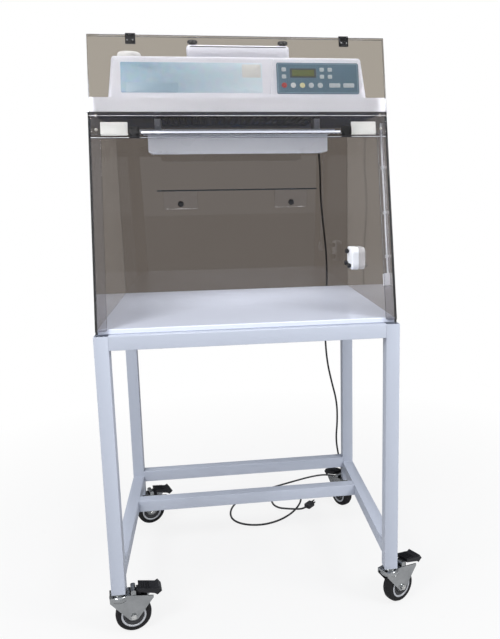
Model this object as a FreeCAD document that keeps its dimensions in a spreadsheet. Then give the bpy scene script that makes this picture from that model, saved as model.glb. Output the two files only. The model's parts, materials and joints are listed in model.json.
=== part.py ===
import FreeCAD, Part
import math
import os
import re
import Sketcher
from FreeCAD import Placement, Rotation, Vector

# A bench enclosure for clean, dust-free pipetting, on a rolling stand.
# X runs to the viewer's right, Y runs back, Z runs up from the floor.
# The work is drawn with X = 0 on the cabinet's centre line and Y = 0 at the foot of its
# front, and origin_x and origin_y then move it over the middle of its footprint.

os.makedirs("parts", exist_ok=True)
doc = FreeCAD.newDocument("workstation")
sheet = doc.addObject("Spreadsheet::Sheet", "Sizes")
ALIASES = {}


def size(alias, value):
    """Put one driving dimension into the sheet, in millimetres or degrees."""
    row = len(ALIASES) + 1
    sheet.set("A%d" % row, alias)
    sheet.set("B%d" % row, str(value))
    sheet.setAlias("B%d" % row, alias)
    ALIASES[alias] = "B%d" % row


# Cabinet
CABINET_WIDTH = 813
CABINET_DEPTH = 650
CABINET_HEIGHT = 579
FRONT_LEAN = 127
SHEET_WALL = 6
BOARD_WALL = 14
BOARD_EDGE_RADIUS = 2.5
BOARD_GAP = 0.3
STRIP_WIDTH = 31
STRIP_FOOT_GAP = 9
FOOT_CORNER_RADIUS = 8
HEADER_HEIGHT = 70
DECK_GAP = 1.5
DECK_OPENING_WIDTH = 480
DECK_OPENING_DEPTH = 300
DECK_OPENING_BACK = 80
# Stand
STAND_WIDTH = 819
STAND_DEPTH = 660
STAND_TOP = 858
STAND_REACH = 17
TUBE_SIDE = 38
TUBE_WALL = 2
SIDE_RAIL_HEIGHT = 159
BACK_RAIL_HEIGHT = 176
STRETCHER_PLACE = 417
# Casters
CASTER_HEIGHT = 122
WHEEL_RADIUS = 50
TYRE_WIDTH = 32
TYRE_WALL = 15
HUB_WIDTH = 30
AXLE_RADIUS = 5
RUNNING_GAP = 0.05
CASTER_TRAIL = 35
FORK_WALL = 3
FORK_GAP = 3
FORK_HEAD_RADIUS = 27
FORK_DOME_HEIGHT = 17
FORK_HEAD_HEIGHT = 15
STEM_RADIUS = 6
STEM_RISE = 40
FLANGE_WALL = 5
PEDAL_PIN_REACH = 52
PEDAL_PIN_RADIUS = 3
PEDAL_LIFT = 6
PEDAL_ARM_WIDTH = 22
FORK_REACH = 92
CHEEK_DROP = 12
BRACKET_LENGTH = 14
BRACKET_HEIGHT = 12
PEDAL_LENGTH = 64
PEDAL_WIDTH = 44
FRONT_LEFT_TURN = 9
FRONT_RIGHT_TURN = 30
BACK_LEFT_TURN = 20
BACK_RIGHT_TURN = 117
# Head
LEDGE_WIDTH = 822
LEDGE_HEIGHT = 38
LEDGE_SETBACK = 0.4
LEDGE_BACK_REACH = 5
HEAD_WIDTH = 714
HEAD_TOP_WIDTH = 690
HEAD_RISE = 115
HEAD_SETBACK = 28
HEAD_BACK_GAP = 25
HEAD_WALL = 6
HEAD_CORNER_RADIUS = 11
LID_WIDTH = 286
LID_DEPTH = 330
LID_HEIGHT = 34.5
LID_FRONT_GAP = 14
LID_CORNER_RADIUS = 10
KNOB_RADIUS = 14
KNOB_HEIGHT = 13
KNOB_INSET = 17
CAP_RADIUS = 32
CAP_HEIGHT = 16
CAP_PLACE = 301
KEYPAD_LEFT = 103
KEYPAD_WIDTH = 233
KEYPAD_HEIGHT = 88
KEYPAD_RISE = 20
KEYPAD_WALL = 2
# Air system
FILTER_WIDTH = 520
FILTER_DEPTH = 340
FILTER_HEIGHT = 68
FILTER_FRAME = 14
PLEAT_PITCH = 20
PLEAT_DEPTH = 30
MOTOR_RADIUS = 40
MOTOR_HEIGHT = 32
SHAFT_RADIUS = 6
ROTOR_RADIUS = 92
ROTOR_INNER_RADIUS = 62
ROTOR_HEIGHT = 34
ROTOR_PLATE = 3
BLADE_COUNT = 24
BLADE_WALL = 2
# Lamp
LAMP_WIDTH = 536
LAMP_DEPTH = 100
LAMP_HEIGHT = 58
LAMP_WALL = 2
LAMP_DROP = 40
LAMP_FRONT = 300
LAMP_FLANGE_REACH = 22
TUBE_LAMP_RADIUS = 8
# Shelf and side pieces
SHELF_WIDTH = 528
SHELF_DEPTH = 150
SHELF_PLACE = 367
SHELF_WALL = 5
TAB_WIDTH = 116
TAB_HEIGHT = 62
TAB_CENTRE = 194
THUMB_RADIUS = 10.5
THUMB_HEIGHT = 12
PORT_WIDTH = 90
PORT_HEIGHT = 76
PORT_WALL = 22
PORT_PLACE = 456
PORT_RISE = 93
PORT_CORNER_RADIUS = 20
SWITCH_WIDTH = 30
SWITCH_HEIGHT = 34
SWITCH_WALL = 12
SWITCH_PLACE = 32
SWITCH_RISE = 142
CONDUIT_RADIUS = 2.5
CONDUIT_PLACE = 44
# Sash and its hinges
SASH_WIDTH = 796
UPPER_SHEET = 262
LOWER_SHEET = 216
SASH_GAP = 0.5
FOLD_GAP = 6
EDGE_GAP = 4.5
HINGE_WIDTH = 26
HINGE_LEAF_HEIGHT = 22
HINGE_LEAF_WALL = 1.6
HINGE_PLACE = 287
KNUCKLE_RADIUS = 3
KNUCKLE_GAP = 0.2
PIN_RADIUS = 1.4
# Mains lead
CORD_RADIUS = 3.5
GLAND_PLACE = 310
GLAND_LENGTH = 30
GLAND_RADIUS = 8
PLUG_LENGTH = 34
PLUG_WIDTH = 26
PLUG_HEIGHT = 18

for alias, value in (
    ("cabinet_width", CABINET_WIDTH), ("cabinet_depth", CABINET_DEPTH), ("cabinet_height", CABINET_HEIGHT),
    ("front_lean", FRONT_LEAN), ("sheet_wall", SHEET_WALL), ("board_wall", BOARD_WALL),
    ("board_edge_radius", BOARD_EDGE_RADIUS), ("board_gap", BOARD_GAP), ("strip_width", STRIP_WIDTH),
    ("strip_foot_gap", STRIP_FOOT_GAP), ("foot_corner_radius", FOOT_CORNER_RADIUS),
    ("header_height", HEADER_HEIGHT), ("deck_gap", DECK_GAP), ("deck_opening_width", DECK_OPENING_WIDTH),
    ("deck_opening_depth", DECK_OPENING_DEPTH), ("deck_opening_back", DECK_OPENING_BACK),
    ("stand_width", STAND_WIDTH), ("stand_depth", STAND_DEPTH), ("stand_top", STAND_TOP),
    ("stand_reach", STAND_REACH), ("tube_side", TUBE_SIDE), ("tube_wall", TUBE_WALL),
    ("side_rail_height", SIDE_RAIL_HEIGHT), ("back_rail_height", BACK_RAIL_HEIGHT),
    ("stretcher_place", STRETCHER_PLACE), ("caster_height", CASTER_HEIGHT), ("wheel_radius", WHEEL_RADIUS),
    ("tyre_width", TYRE_WIDTH), ("tyre_wall", TYRE_WALL), ("hub_width", HUB_WIDTH),
    ("axle_radius", AXLE_RADIUS), ("running_gap", RUNNING_GAP), ("caster_trail", CASTER_TRAIL),
    ("fork_wall", FORK_WALL), ("fork_gap", FORK_GAP), ("fork_head_radius", FORK_HEAD_RADIUS),
    ("fork_dome_height", FORK_DOME_HEIGHT), ("fork_head_height", FORK_HEAD_HEIGHT),
    ("stem_radius", STEM_RADIUS), ("stem_rise", STEM_RISE), ("flange_wall", FLANGE_WALL),
    ("pedal_pin_reach", PEDAL_PIN_REACH), ("pedal_pin_radius", PEDAL_PIN_RADIUS),
    ("pedal_lift", PEDAL_LIFT), ("pedal_arm_width", PEDAL_ARM_WIDTH), ("fork_reach", FORK_REACH), ("cheek_drop", CHEEK_DROP), ("bracket_length", BRACKET_LENGTH),
    ("bracket_height", BRACKET_HEIGHT),
    ("pedal_length", PEDAL_LENGTH), ("pedal_width", PEDAL_WIDTH), ("front_left_turn", FRONT_LEFT_TURN),
    ("front_right_turn", FRONT_RIGHT_TURN), ("back_left_turn", BACK_LEFT_TURN),
    ("back_right_turn", BACK_RIGHT_TURN), ("ledge_width", LEDGE_WIDTH), ("ledge_height", LEDGE_HEIGHT), ("ledge_setback", LEDGE_SETBACK),
    ("ledge_back_reach", LEDGE_BACK_REACH), ("head_width", HEAD_WIDTH), ("head_top_width", HEAD_TOP_WIDTH),
    ("head_rise", HEAD_RISE), ("head_setback", HEAD_SETBACK), ("head_back_gap", HEAD_BACK_GAP),
    ("head_wall", HEAD_WALL), ("head_corner_radius", HEAD_CORNER_RADIUS), ("lid_width", LID_WIDTH),
    ("lid_depth", LID_DEPTH), ("lid_height", LID_HEIGHT), ("lid_front_gap", LID_FRONT_GAP),
    ("lid_corner_radius", LID_CORNER_RADIUS), ("knob_radius", KNOB_RADIUS), ("knob_height", KNOB_HEIGHT),
    ("knob_inset", KNOB_INSET), ("cap_radius", CAP_RADIUS), ("cap_height", CAP_HEIGHT),
    ("cap_place", CAP_PLACE), ("keypad_left", KEYPAD_LEFT), ("keypad_width", KEYPAD_WIDTH),
    ("keypad_height", KEYPAD_HEIGHT), ("keypad_rise", KEYPAD_RISE), ("keypad_wall", KEYPAD_WALL),
    ("filter_width", FILTER_WIDTH), ("filter_depth", FILTER_DEPTH), ("filter_height", FILTER_HEIGHT),
    ("filter_frame", FILTER_FRAME), ("pleat_pitch", PLEAT_PITCH), ("pleat_depth", PLEAT_DEPTH),
    ("motor_radius", MOTOR_RADIUS), ("motor_height", MOTOR_HEIGHT), ("shaft_radius", SHAFT_RADIUS),
    ("rotor_radius", ROTOR_RADIUS), ("rotor_inner_radius", ROTOR_INNER_RADIUS),
    ("rotor_height", ROTOR_HEIGHT), ("rotor_plate", ROTOR_PLATE), ("blade_count", BLADE_COUNT),
    ("blade_wall", BLADE_WALL), ("lamp_width", LAMP_WIDTH), ("lamp_depth", LAMP_DEPTH),
    ("lamp_height", LAMP_HEIGHT), ("lamp_wall", LAMP_WALL), ("lamp_drop", LAMP_DROP),
    ("lamp_front", LAMP_FRONT), ("lamp_flange_reach", LAMP_FLANGE_REACH),
    ("tube_lamp_radius", TUBE_LAMP_RADIUS), ("shelf_width", SHELF_WIDTH), ("shelf_depth", SHELF_DEPTH),
    ("shelf_place", SHELF_PLACE), ("shelf_wall", SHELF_WALL), ("tab_width", TAB_WIDTH),
    ("tab_height", TAB_HEIGHT), ("tab_centre", TAB_CENTRE), ("thumb_radius", THUMB_RADIUS),
    ("thumb_height", THUMB_HEIGHT), ("port_width", PORT_WIDTH), ("port_height", PORT_HEIGHT),
    ("port_wall", PORT_WALL), ("port_place", PORT_PLACE), ("port_rise", PORT_RISE),
    ("port_corner_radius", PORT_CORNER_RADIUS), ("switch_width", SWITCH_WIDTH),
    ("switch_height", SWITCH_HEIGHT), ("switch_wall", SWITCH_WALL), ("switch_place", SWITCH_PLACE),
    ("switch_rise", SWITCH_RISE), ("conduit_radius", CONDUIT_RADIUS), ("conduit_place", CONDUIT_PLACE),
    ("sash_width", SASH_WIDTH), ("upper_sheet", UPPER_SHEET), ("lower_sheet", LOWER_SHEET),
    ("sash_gap", SASH_GAP), ("fold_gap", FOLD_GAP), ("edge_gap", EDGE_GAP), ("hinge_width", HINGE_WIDTH),
    ("hinge_leaf_height", HINGE_LEAF_HEIGHT), ("hinge_leaf_wall", HINGE_LEAF_WALL),
    ("hinge_place", HINGE_PLACE), ("knuckle_radius", KNUCKLE_RADIUS), ("knuckle_gap", KNUCKLE_GAP),
    ("pin_radius", PIN_RADIUS), ("cord_radius", CORD_RADIUS), ("gland_place", GLAND_PLACE),
    ("gland_length", GLAND_LENGTH), ("gland_radius", GLAND_RADIUS), ("plug_length", PLUG_LENGTH),
    ("plug_width", PLUG_WIDTH), ("plug_height", PLUG_HEIGHT),
):
    size(alias, value)
# The middle of the footprint, set once the pieces stand
size("origin_x", 0)
size("origin_y", 0)
doc.recompute()


def val(text):
    """A number worked out from sheet names, for code that needs the value itself."""
    names = {alias: float(sheet.get(alias)) for alias in ALIASES}
    names.update(cos=lambda a: math.cos(math.radians(a)), atan=lambda a: math.degrees(math.atan(a)))
    tokens = re.findall(r"[A-Za-z_][A-Za-z_0-9]*|\d+\.?\d*|\*\*|[-+*/()]", text)
    return Calculator(tokens, names).run()


class Calculator:
    """Works out a sum of sheet names with + - * / brackets and the functions given."""

    def __init__(self, tokens, names):
        self.tokens = tokens
        self.names = names
        self.at = 0

    def peek(self):
        return self.tokens[self.at] if self.at < len(self.tokens) else None

    def take(self):
        self.at += 1
        return self.tokens[self.at - 1]

    def run(self):
        total = self.term()
        while self.peek() in ("+", "-"):
            if self.take() == "+":
                total += self.term()
            else:
                total -= self.term()
        return total

    def term(self):
        total = self.factor()
        while self.peek() in ("*", "/"):
            if self.take() == "*":
                total *= self.factor()
            else:
                total /= self.factor()
        return total

    def factor(self):
        word = self.take()
        if word == "-":
            return -self.factor()
        if word == "(":
            inner = self.run()
            self.take()
            return inner
        if word in ("cos", "atan"):
            self.take()
            inner = self.run()
            self.take()
            return self.names[word](inner)
        if word in self.names:
            return self.names[word]
        return float(word)


def ex(text):
    """Turn sheet names in a sum into the form that an expression reads."""
    return re.sub(r"[a-z_][a-z_0-9]*", lambda m: "Sizes." + m[0] if m[0] in ALIASES else m[0], text)


# The front leans back by this angle, and its slope is this long
LEAN = "atan(front_lean / cabinet_height)"
SLOPE = "(cabinet_height / cos(%s))" % LEAN
HINGE_LINE = "(%s - header_height)" % SLOPE
BOARD_FRONT = "(sheet_wall / cos(%s) + board_wall * front_lean / cabinet_height + board_gap)" % LEAN


def bind(thing, **sizes):
    """Tie properties of an object to sums of sheet names."""
    for name, text in sizes.items():
        thing.setExpression(name, ex(text))


def place(thing, x="0", y="0", z="0"):
    """Tie the place of a piece of raw shape."""
    for axis, text in zip("xyz", (x, y, z)):
        thing.setExpression("Placement.Base." + axis, ex(text))
    return thing


SUBPARTS = {}


def subpart(thing, label, x="0", y="0", z="0", turn=None):
    """Name a finished sub-part and set it in the common frame; turn is (axis, angle)."""
    thing.Label = label
    if turn:
        axis, angle = turn
        thing.Placement = Placement(Vector(), Rotation(axis, 1))
        thing.setExpression("Placement.Rotation.Angle", ex(angle))
    place(thing, "(%s) + origin_x" % x, "(%s) + origin_y" % y, z)
    SUBPARTS[label] = thing
    return thing


def leaning(thing, label):
    """Set a piece drawn upright, with Y = 0 at its face, into the leaning front."""
    return subpart(group(label + "_upright", thing), label, z="stand_top", turn=(Vector(-1, 0, 0), LEAN))


def block(name, length, width, height, x="0", y="0", z="0"):
    box = doc.addObject("Part::Box", name)
    bind(box, Length=length, Width=width, Height=height)
    return place(box, x, y, z)


def rod(name, radius, height, x="0", y="0", z="0", along=None):
    """A cylinder; along turns its axis from Z to X or Y."""
    cylinder = doc.addObject("Part::Cylinder", name)
    bind(cylinder, Radius=radius, Height=height)
    if along == "X":
        cylinder.Placement = Placement(Vector(), Rotation(Vector(0, 1, 0), 90))
    if along == "Y":
        cylinder.Placement = Placement(Vector(), Rotation(Vector(1, 0, 0), -90))
    return place(cylinder, x, y, z)


def cut(name, base, tool):
    result = doc.addObject("Part::Cut", name)
    result.Base = base
    result.Tool = tool
    return result


def fuse(name, *pieces):
    result = doc.addObject("Part::MultiFuse", name)
    result.Shapes = list(pieces)
    result.Refine = True
    return result


def group(name, *pieces):
    """Separate like solids that share one node."""
    result = doc.addObject("Part::Compound", name)
    result.Links = list(pieces)
    return result


def rounded(name, base, radius, wanted):
    """Round the edges of base that the test wanted(edge) picks."""
    doc.recompute()
    result = doc.addObject("Part::Fillet", name)
    result.Base = base
    amount = val(radius)
    edges = base.Shape.Edges
    result.Edges = [(n + 1, amount, amount) for n in range(len(edges)) if wanted(edges[n])]
    return result


def runs_along(edge, direction):
    """True for a straight edge that runs along a direction."""
    if edge.Curve.TypeId != "Part::GeomLine":
        return False
    return abs(edge.tangentAt(edge.FirstParameter).dot(direction)) > 0.999


def role_plane(body, role):
    return next(f for f in body.Origin.OriginFeatures if f.Role == role)


def new_body(name):
    return doc.addObject("PartDesign::Body", name)


def outline(body, name, role, points, lift=None):
    """A closed sketch of straight lines whose corners are sums of sheet names, none below 0."""
    sketch = body.newObject("Sketcher::SketchObject", name)
    sketch.AttachmentSupport = [(role_plane(body, role), "")]
    sketch.MapMode = "FlatFace"
    if lift:
        sketch.setExpression("AttachmentOffset.Base.z", ex(lift))
    corners = [Vector(val(x), val(y), 0) for x, y in points]
    count = len(corners)
    for n in range(count):
        sketch.addGeometry(Part.LineSegment(corners[n], corners[(n + 1) % count]), False)
    for n in range(count):
        sketch.addConstraint(Sketcher.Constraint("Coincident", n, 2, (n + 1) % count, 1))
    for n, (x, y) in enumerate(points):
        for kind, text, axis in (("DistanceX", x, -2), ("DistanceY", y, -1)):
            if text == "0":
                sketch.addConstraint(Sketcher.Constraint("PointOnObject", n, 1, axis))
                continue
            index = sketch.addConstraint(Sketcher.Constraint(kind, -1, 1, n, 1, val(text)))
            sketch.setExpression("Constraints[%d]" % index, ex(text))
    return sketch


def circle(body, name, role, radius, x="0", y="0", lift=None):
    """A sketch of one circle."""
    sketch = body.newObject("Sketcher::SketchObject", name)
    sketch.AttachmentSupport = [(role_plane(body, role), "")]
    sketch.MapMode = "FlatFace"
    if lift:
        sketch.setExpression("AttachmentOffset.Base.z", ex(lift))
    sketch.addGeometry(Part.Circle(Vector(val(x), val(y), 0), Vector(0, 0, 1), val(radius)), False)
    index = sketch.addConstraint(Sketcher.Constraint("Radius", 0, val(radius)))
    sketch.setExpression("Constraints[%d]" % index, ex(radius))
    for kind, text, axis in (("DistanceX", x, -2), ("DistanceY", y, -1)):
        if text == "0":
            sketch.addConstraint(Sketcher.Constraint("PointOnObject", 0, 3, axis))
            continue
        index = sketch.addConstraint(Sketcher.Constraint(kind, -1, 1, 0, 3, val(text)))
        sketch.setExpression("Constraints[%d]" % index, ex(text))
    return sketch


def pad(body, name, sketch, length, reverse=False, middle=False, operation="PartDesign::Pad"):
    feature = body.newObject(operation, name)
    feature.Profile = sketch
    bind(feature, Length=length)
    feature.Reversed = reverse
    feature.Midplane = middle
    body.Tip = feature
    return feature


def revolve(body, name, sketch, axis_role):
    feature = body.newObject("PartDesign::Revolution", name)
    feature.Profile = sketch
    feature.ReferenceAxis = (role_plane(body, axis_role), "")
    feature.Angle = 360
    body.Tip = feature
    return feature


def loft(body, name, first, second, operation="PartDesign::AdditiveLoft"):
    feature = body.newObject(operation, name)
    feature.Profile = first
    feature.Sections = [second]
    feature.Ruled = True
    body.Tip = feature
    return feature


def square_tube(name, axis, length):
    """A length of welded square tube, open at both ends."""
    sides = {"X": (length, "tube_side", "tube_side"), "Y": ("tube_side", length, "tube_side"),
             "Z": ("tube_side", "tube_side", length)}[axis]
    inner = ["tube_side - 2 * tube_wall"] * 3
    start = ["tube_wall"] * 3
    place_of_axis = "XYZ".index(axis)
    inner[place_of_axis] = length
    start[place_of_axis] = "0"
    return cut(name, block(name + "_outside", *sides), block(name + "_bore", *inner, *start))


def stand():
    """Four legs and eight rails of square tube."""
    left = "-stand_width / 2"
    right = "stand_width / 2 - tube_side"
    front = "-stand_reach"
    back = "stand_depth - stand_reach - tube_side"
    leg = "stand_top - caster_height"
    across = "stand_width - 2 * tube_side"
    along = "stand_depth - 2 * tube_side"
    inner_x = "-stand_width / 2 + tube_side"
    inner_y = "tube_side - stand_reach"
    top = "stand_top - tube_side"
    tubes = [
        ("leg_front_left", "Z", leg, left, front, "caster_height"),
        ("leg_front_right", "Z", leg, right, front, "caster_height"),
        ("leg_back_left", "Z", leg, left, back, "caster_height"),
        ("leg_back_right", "Z", leg, right, back, "caster_height"),
        ("rail_top_front", "X", across, inner_x, front, top),
        ("rail_top_back", "X", across, inner_x, back, top),
        ("rail_top_left", "Y", along, left, inner_y, top),
        ("rail_top_right", "Y", along, right, inner_y, top),
        ("rail_low_left", "Y", along, left, inner_y, "side_rail_height"),
        ("rail_low_right", "Y", along, right, inner_y, "side_rail_height"),
        ("rail_low_back", "X", across, inner_x, back, "back_rail_height"),
        ("rail_low_stretcher", "X", across, inner_x, "stretcher_place - stand_reach", "side_rail_height"),
    ]
    for label, axis, length, x, y, z in tubes:
        subpart(square_tube(label + "_tube", axis, length), label, x, y, z)


CASTERS = [
    ("front_left", "-stand_width / 2 + tube_side / 2", "tube_side / 2 - stand_reach", "front_left_turn"),
    ("front_right", "stand_width / 2 - tube_side / 2", "tube_side / 2 - stand_reach", "front_right_turn"),
    ("back_left", "-stand_width / 2 + tube_side / 2", "stand_depth - stand_reach - tube_side / 2",
     "back_left_turn"),
    ("back_right", "stand_width / 2 - tube_side / 2", "stand_depth - stand_reach - tube_side / 2",
     "back_right_turn"),
]
FORK_TOP = "(caster_height - flange_wall - running_gap)"
FORK_HALF = "(tyre_width / 2 + fork_gap)"
PEDAL_PIN_Z = FORK_TOP + " - fork_head_height * 2 / 3"


def fork(name):
    """The pressed fork: a domed head, two cheeks that taper to the axle, and the axle itself."""
    plate = new_body(name + "_cheeks")
    corners = [
        ("0", FORK_TOP + " - fork_head_height"),
        ("caster_trail + fork_head_radius - axle_radius * 2", "wheel_radius - axle_radius * 2"),
        ("caster_trail + fork_head_radius + axle_radius * 2", "wheel_radius - axle_radius * 2"),
        ("fork_reach + fork_head_radius", FORK_TOP + " - cheek_drop - fork_wall * 2"),
        ("fork_reach + fork_head_radius", FORK_TOP + " - cheek_drop"),
        ("2 * fork_head_radius", FORK_TOP),
        ("0", FORK_TOP),
    ]
    side = outline(plate, name + "_side", "XZ_Plane", corners)
    pad(plate, name + "_body", side, "2 * (%s + fork_wall)" % FORK_HALF, middle=True)
    place(plate, "-fork_head_radius")
    soft = rounded(name + "_soft", plate, "axle_radius * 1.6",
                   lambda e: runs_along(e, Vector(0, 1, 0)) and e.Vertexes[0].Z < val("wheel_radius"))
    slot = block(name + "_slot", "4 * wheel_radius", "2 * " + FORK_HALF, FORK_TOP + " - fork_wall * 2",
                 "-2 * wheel_radius", "-" + FORK_HALF, "0")
    bay = block(name + "_bay", "4 * wheel_radius", "2 * " + FORK_HALF, "fork_wall * 3",
                "fork_head_radius", "-" + FORK_HALF, FORK_TOP + " - fork_wall * 2.5")
    cheeks = cut(name + "_notched", cut(name + "_open", soft, slot), bay)
    head = new_body(name + "_head")
    low = FORK_TOP + " - fork_dome_height"
    profile = [("0", low), ("fork_head_radius * 0.78", low), ("fork_head_radius * 0.93", low + " + fork_wall"),
               ("fork_head_radius", low + " + fork_dome_height * 0.42"),
               ("fork_head_radius * 0.96", low + " + fork_dome_height * 0.78"),
               ("fork_head_radius * 0.84", FORK_TOP), ("0", FORK_TOP)]
    revolve(head, name + "_turned", outline(head, name + "_section", "XZ_Plane", profile), "Z_Axis")
    axle = rod(name + "_axle", "axle_radius", "2 * (%s + fork_wall * 2.4)" % FORK_HALF, "caster_trail",
               "-(%s + fork_wall * 2.4)" % FORK_HALF, "wheel_radius", along="Y")
    nuts = [rod(name + "_nut_" + side_name, "axle_radius * 1.6", "fork_wall * 1.6", "caster_trail", y,
                "wheel_radius", along="Y")
            for side_name, y in (("near", "-(%s + fork_wall * 2.6)" % FORK_HALF),
                                 ("far", "%s + fork_wall" % FORK_HALF))]
    pivot = rod(name + "_pivot", "pedal_pin_radius", "2 * " + FORK_HALF, "pedal_pin_reach",
                "-" + FORK_HALF, PEDAL_PIN_Z, along="Y")
    bracket = block(name + "_bracket", "bracket_length", "2 * %s + fork_wall" % FORK_HALF,
                    "bracket_height + fork_wall",
                    "pedal_pin_reach - pedal_pin_radius * 2 - fork_wall / 2 - bracket_length",
                    "-%s - fork_wall / 2" % FORK_HALF, FORK_TOP + " - fork_wall")
    bent = rounded(name + "_bent", bracket, "bracket_length / 3",
                   lambda e: runs_along(e, Vector(0, 1, 0)) and e.Vertexes[0].Z > val(FORK_TOP) + 1)
    return fuse(name, cheeks, head, axle, pivot, bent, *nuts)


def tyre(name):
    """The rubber tyre: a crowned tread on a ring, turned about the axle."""
    body = new_body(name)
    half = "tyre_width / 2"
    points = [("wheel_radius - tyre_wall", "0"), ("wheel_radius - tyre_wall / 3", "0"),
              ("wheel_radius - 1", "tyre_width / 5"), ("wheel_radius", half),
              ("wheel_radius - 1", "tyre_width * 4 / 5"), ("wheel_radius - tyre_wall / 3", "tyre_width"),
              ("wheel_radius - tyre_wall", "tyre_width")]
    revolve(body, name + "_turned", outline(body, name + "_section", "XZ_Plane", points), "Z_Axis")
    return body


def hub(name):
    """The moulded hub: a rim, a thin dished web and a boss bored for the axle."""
    body = new_body(name)
    bore = "axle_radius + running_gap"
    rim = "wheel_radius - tyre_wall"
    lip = "(tyre_width - hub_width) / 2"
    web = "hub_width * 0.3"
    points = [(bore, lip), ("axle_radius + 7", lip), ("axle_radius + 8", lip + " + " + web),
              (rim + " - 5", lip + " + " + web), (rim + " - 4", lip), (rim, lip),
              (rim, "tyre_width - " + lip), (rim + " - 4", "tyre_width - " + lip),
              (rim + " - 5", "tyre_width - %s - %s" % (lip, web)),
              ("axle_radius + 8", "tyre_width - %s - %s" % (lip, web)),
              ("axle_radius + 7", "tyre_width - " + lip), (bore, "tyre_width - " + lip)]
    revolve(body, name + "_turned", outline(body, name + "_section", "XZ_Plane", points), "Z_Axis")
    return body


def pedal(name):
    """The foot brake: a bored arm between the cheeks, and over them a tread that kicks up at its end."""
    body = new_body(name)
    tip = "fork_reach - pedal_pin_reach + pedal_pin_radius"
    end = "pedal_length"
    points = [("0", "0"), (tip, "-cheek_drop"), (tip + " + 8", "-cheek_drop - pedal_lift"),
              (end, "pedal_lift * 0.6 - cheek_drop"), (end + " - 9", "pedal_lift * 2.8 - cheek_drop"),
              (end + " - 17", "pedal_lift * 2.1 - cheek_drop"), ("0", "pedal_lift * 1.7")]
    pad(body, name + "_body", outline(body, name + "_side", "XZ_Plane", points), "pedal_width", middle=True)
    place(body, "pedal_pin_reach", "0", FORK_TOP + " + pedal_lift")
    arm = block(name + "_arm", "pedal_pin_radius * 4", "pedal_arm_width",
                "fork_head_height * 2 / 3 + pedal_pin_radius * 2 + 1.5 * pedal_lift",
                "pedal_pin_reach - pedal_pin_radius * 2", "-pedal_arm_width / 2",
                PEDAL_PIN_Z + " - pedal_pin_radius * 2")
    hole = rod(name + "_bore", "pedal_pin_radius + running_gap", "4 * wheel_radius", "pedal_pin_reach",
               "-2 * wheel_radius", PEDAL_PIN_Z, along="Y")
    return cut(name, fuse(name + "_lever", body, arm), hole)


def casters():
    """Four swivel casters, each with a fork, a tyre, a hub and a brake pedal."""
    stems = []
    for label, x, y, turn in CASTERS:
        subpart(fork(label + "_fork_shape"), "caster_fork_" + label, x, y, "0", (Vector(0, 0, 1), turn))
        subpart(pedal(label + "_pedal_shape"), "brake_pedal_" + label, x, y, "0", (Vector(0, 0, 1), turn))
        for kind, maker in (("caster_tyre_", tyre), ("caster_hub_", hub)):
            raw = maker(kind + label + "_raw")
            raw.Placement = Placement(Vector(), Rotation(Vector(1, 0, 0), 90))
            place(raw, "caster_trail", "tyre_width / 2", "wheel_radius")
            subpart(group(kind + label + "_set", raw), kind + label, x, y, "0", (Vector(0, 0, 1), turn))
        stem = rod(label + "_stem", "stem_radius", "stem_rise", x, y, "caster_height - 1")
        flange = rod(label + "_flange", "tube_side / 2 - 1", "flange_wall", x, y, "caster_height - flange_wall")
        stems.append(fuse(label + "_stem_piece", stem, flange))
    subpart(group("stem_set", *stems), "caster_stems")


def cabinet():
    """Clear sheets glued edge to edge round a white board."""
    wall = "sheet_wall"
    foot = "(sheet_wall / cos(%s))" % LEAN
    for label, x in (("panel_left", "-cabinet_width / 2"), ("panel_right", "cabinet_width / 2 - sheet_wall")):
        body = new_body(label + "_body")
        points = [(foot, "0"), ("cabinet_depth", "0"), ("cabinet_depth", "cabinet_height"),
                  ("front_lean + " + foot, "cabinet_height")]
        pad(body, label + "_pad", outline(body, label + "_side", "YZ_Plane", points), wall)
        subpart(body, label, x, "0", "stand_top")
    inner = "cabinet_width - 2 * sheet_wall"
    subpart(block("back_sheet", inner, wall, "cabinet_height"), "panel_back",
            "-cabinet_width / 2 + sheet_wall", "cabinet_depth - sheet_wall", "stand_top")
    board = block("board_sheet", inner, "cabinet_depth - sheet_wall - " + BOARD_FRONT, "board_wall")
    eased = rounded("board_eased", board, "board_edge_radius",
                    lambda e: runs_along(e, Vector(1, 0, 0)) and e.Vertexes[0].Y < 1)
    subpart(eased, "work_surface", "-cabinet_width / 2 + sheet_wall", BOARD_FRONT, "stand_top")
    deck_front = "front_lean + 2 * sheet_wall"
    deck_width = "cabinet_width - 2 * deck_gap"
    deck = rounded("deck_eased", block("deck_sheet", deck_width,
                                       "cabinet_depth - deck_gap - (%s)" % deck_front, wall),
                   "head_corner_radius + 2", lambda e: runs_along(e, Vector(0, 0, 1)))
    hole = block("deck_hole", "deck_opening_width", "deck_opening_depth", "3 * sheet_wall",
                 "(%s - deck_opening_width) / 2" % deck_width,
                 "cabinet_depth - (%s) - deck_opening_depth - deck_opening_back" % deck_front, "-sheet_wall")
    subpart(cut("deck_cut", deck, hole), "top_deck", "deck_gap - cabinet_width / 2", deck_front,
            "stand_top + cabinet_height")
    leaning(block("header_sheet", "cabinet_width", wall, "header_height - 1", "-cabinet_width / 2", "0",
                  HINGE_LINE), "front_header")
    for label, x in (("front_strip_left", "-cabinet_width / 2"),
                     ("front_strip_right", "cabinet_width / 2 - strip_width")):
        strip = block(label + "_sheet", "strip_width", wall, HINGE_LINE + " - strip_foot_gap", x, "0",
                      "strip_foot_gap")
        edge_x = val(x) if "right" in label else val(x + " + strip_width")
        soft = rounded(label + "_soft", strip, "foot_corner_radius",
                       lambda e, edge_x=edge_x: runs_along(e, Vector(0, 1, 0))
                       and e.Vertexes[0].Z < val("strip_foot_gap") + 1 and abs(e.Vertexes[0].X - edge_x) < 1)
        leaning(soft, label)


HEAD_BASE = "(stand_top + cabinet_height)"


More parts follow.
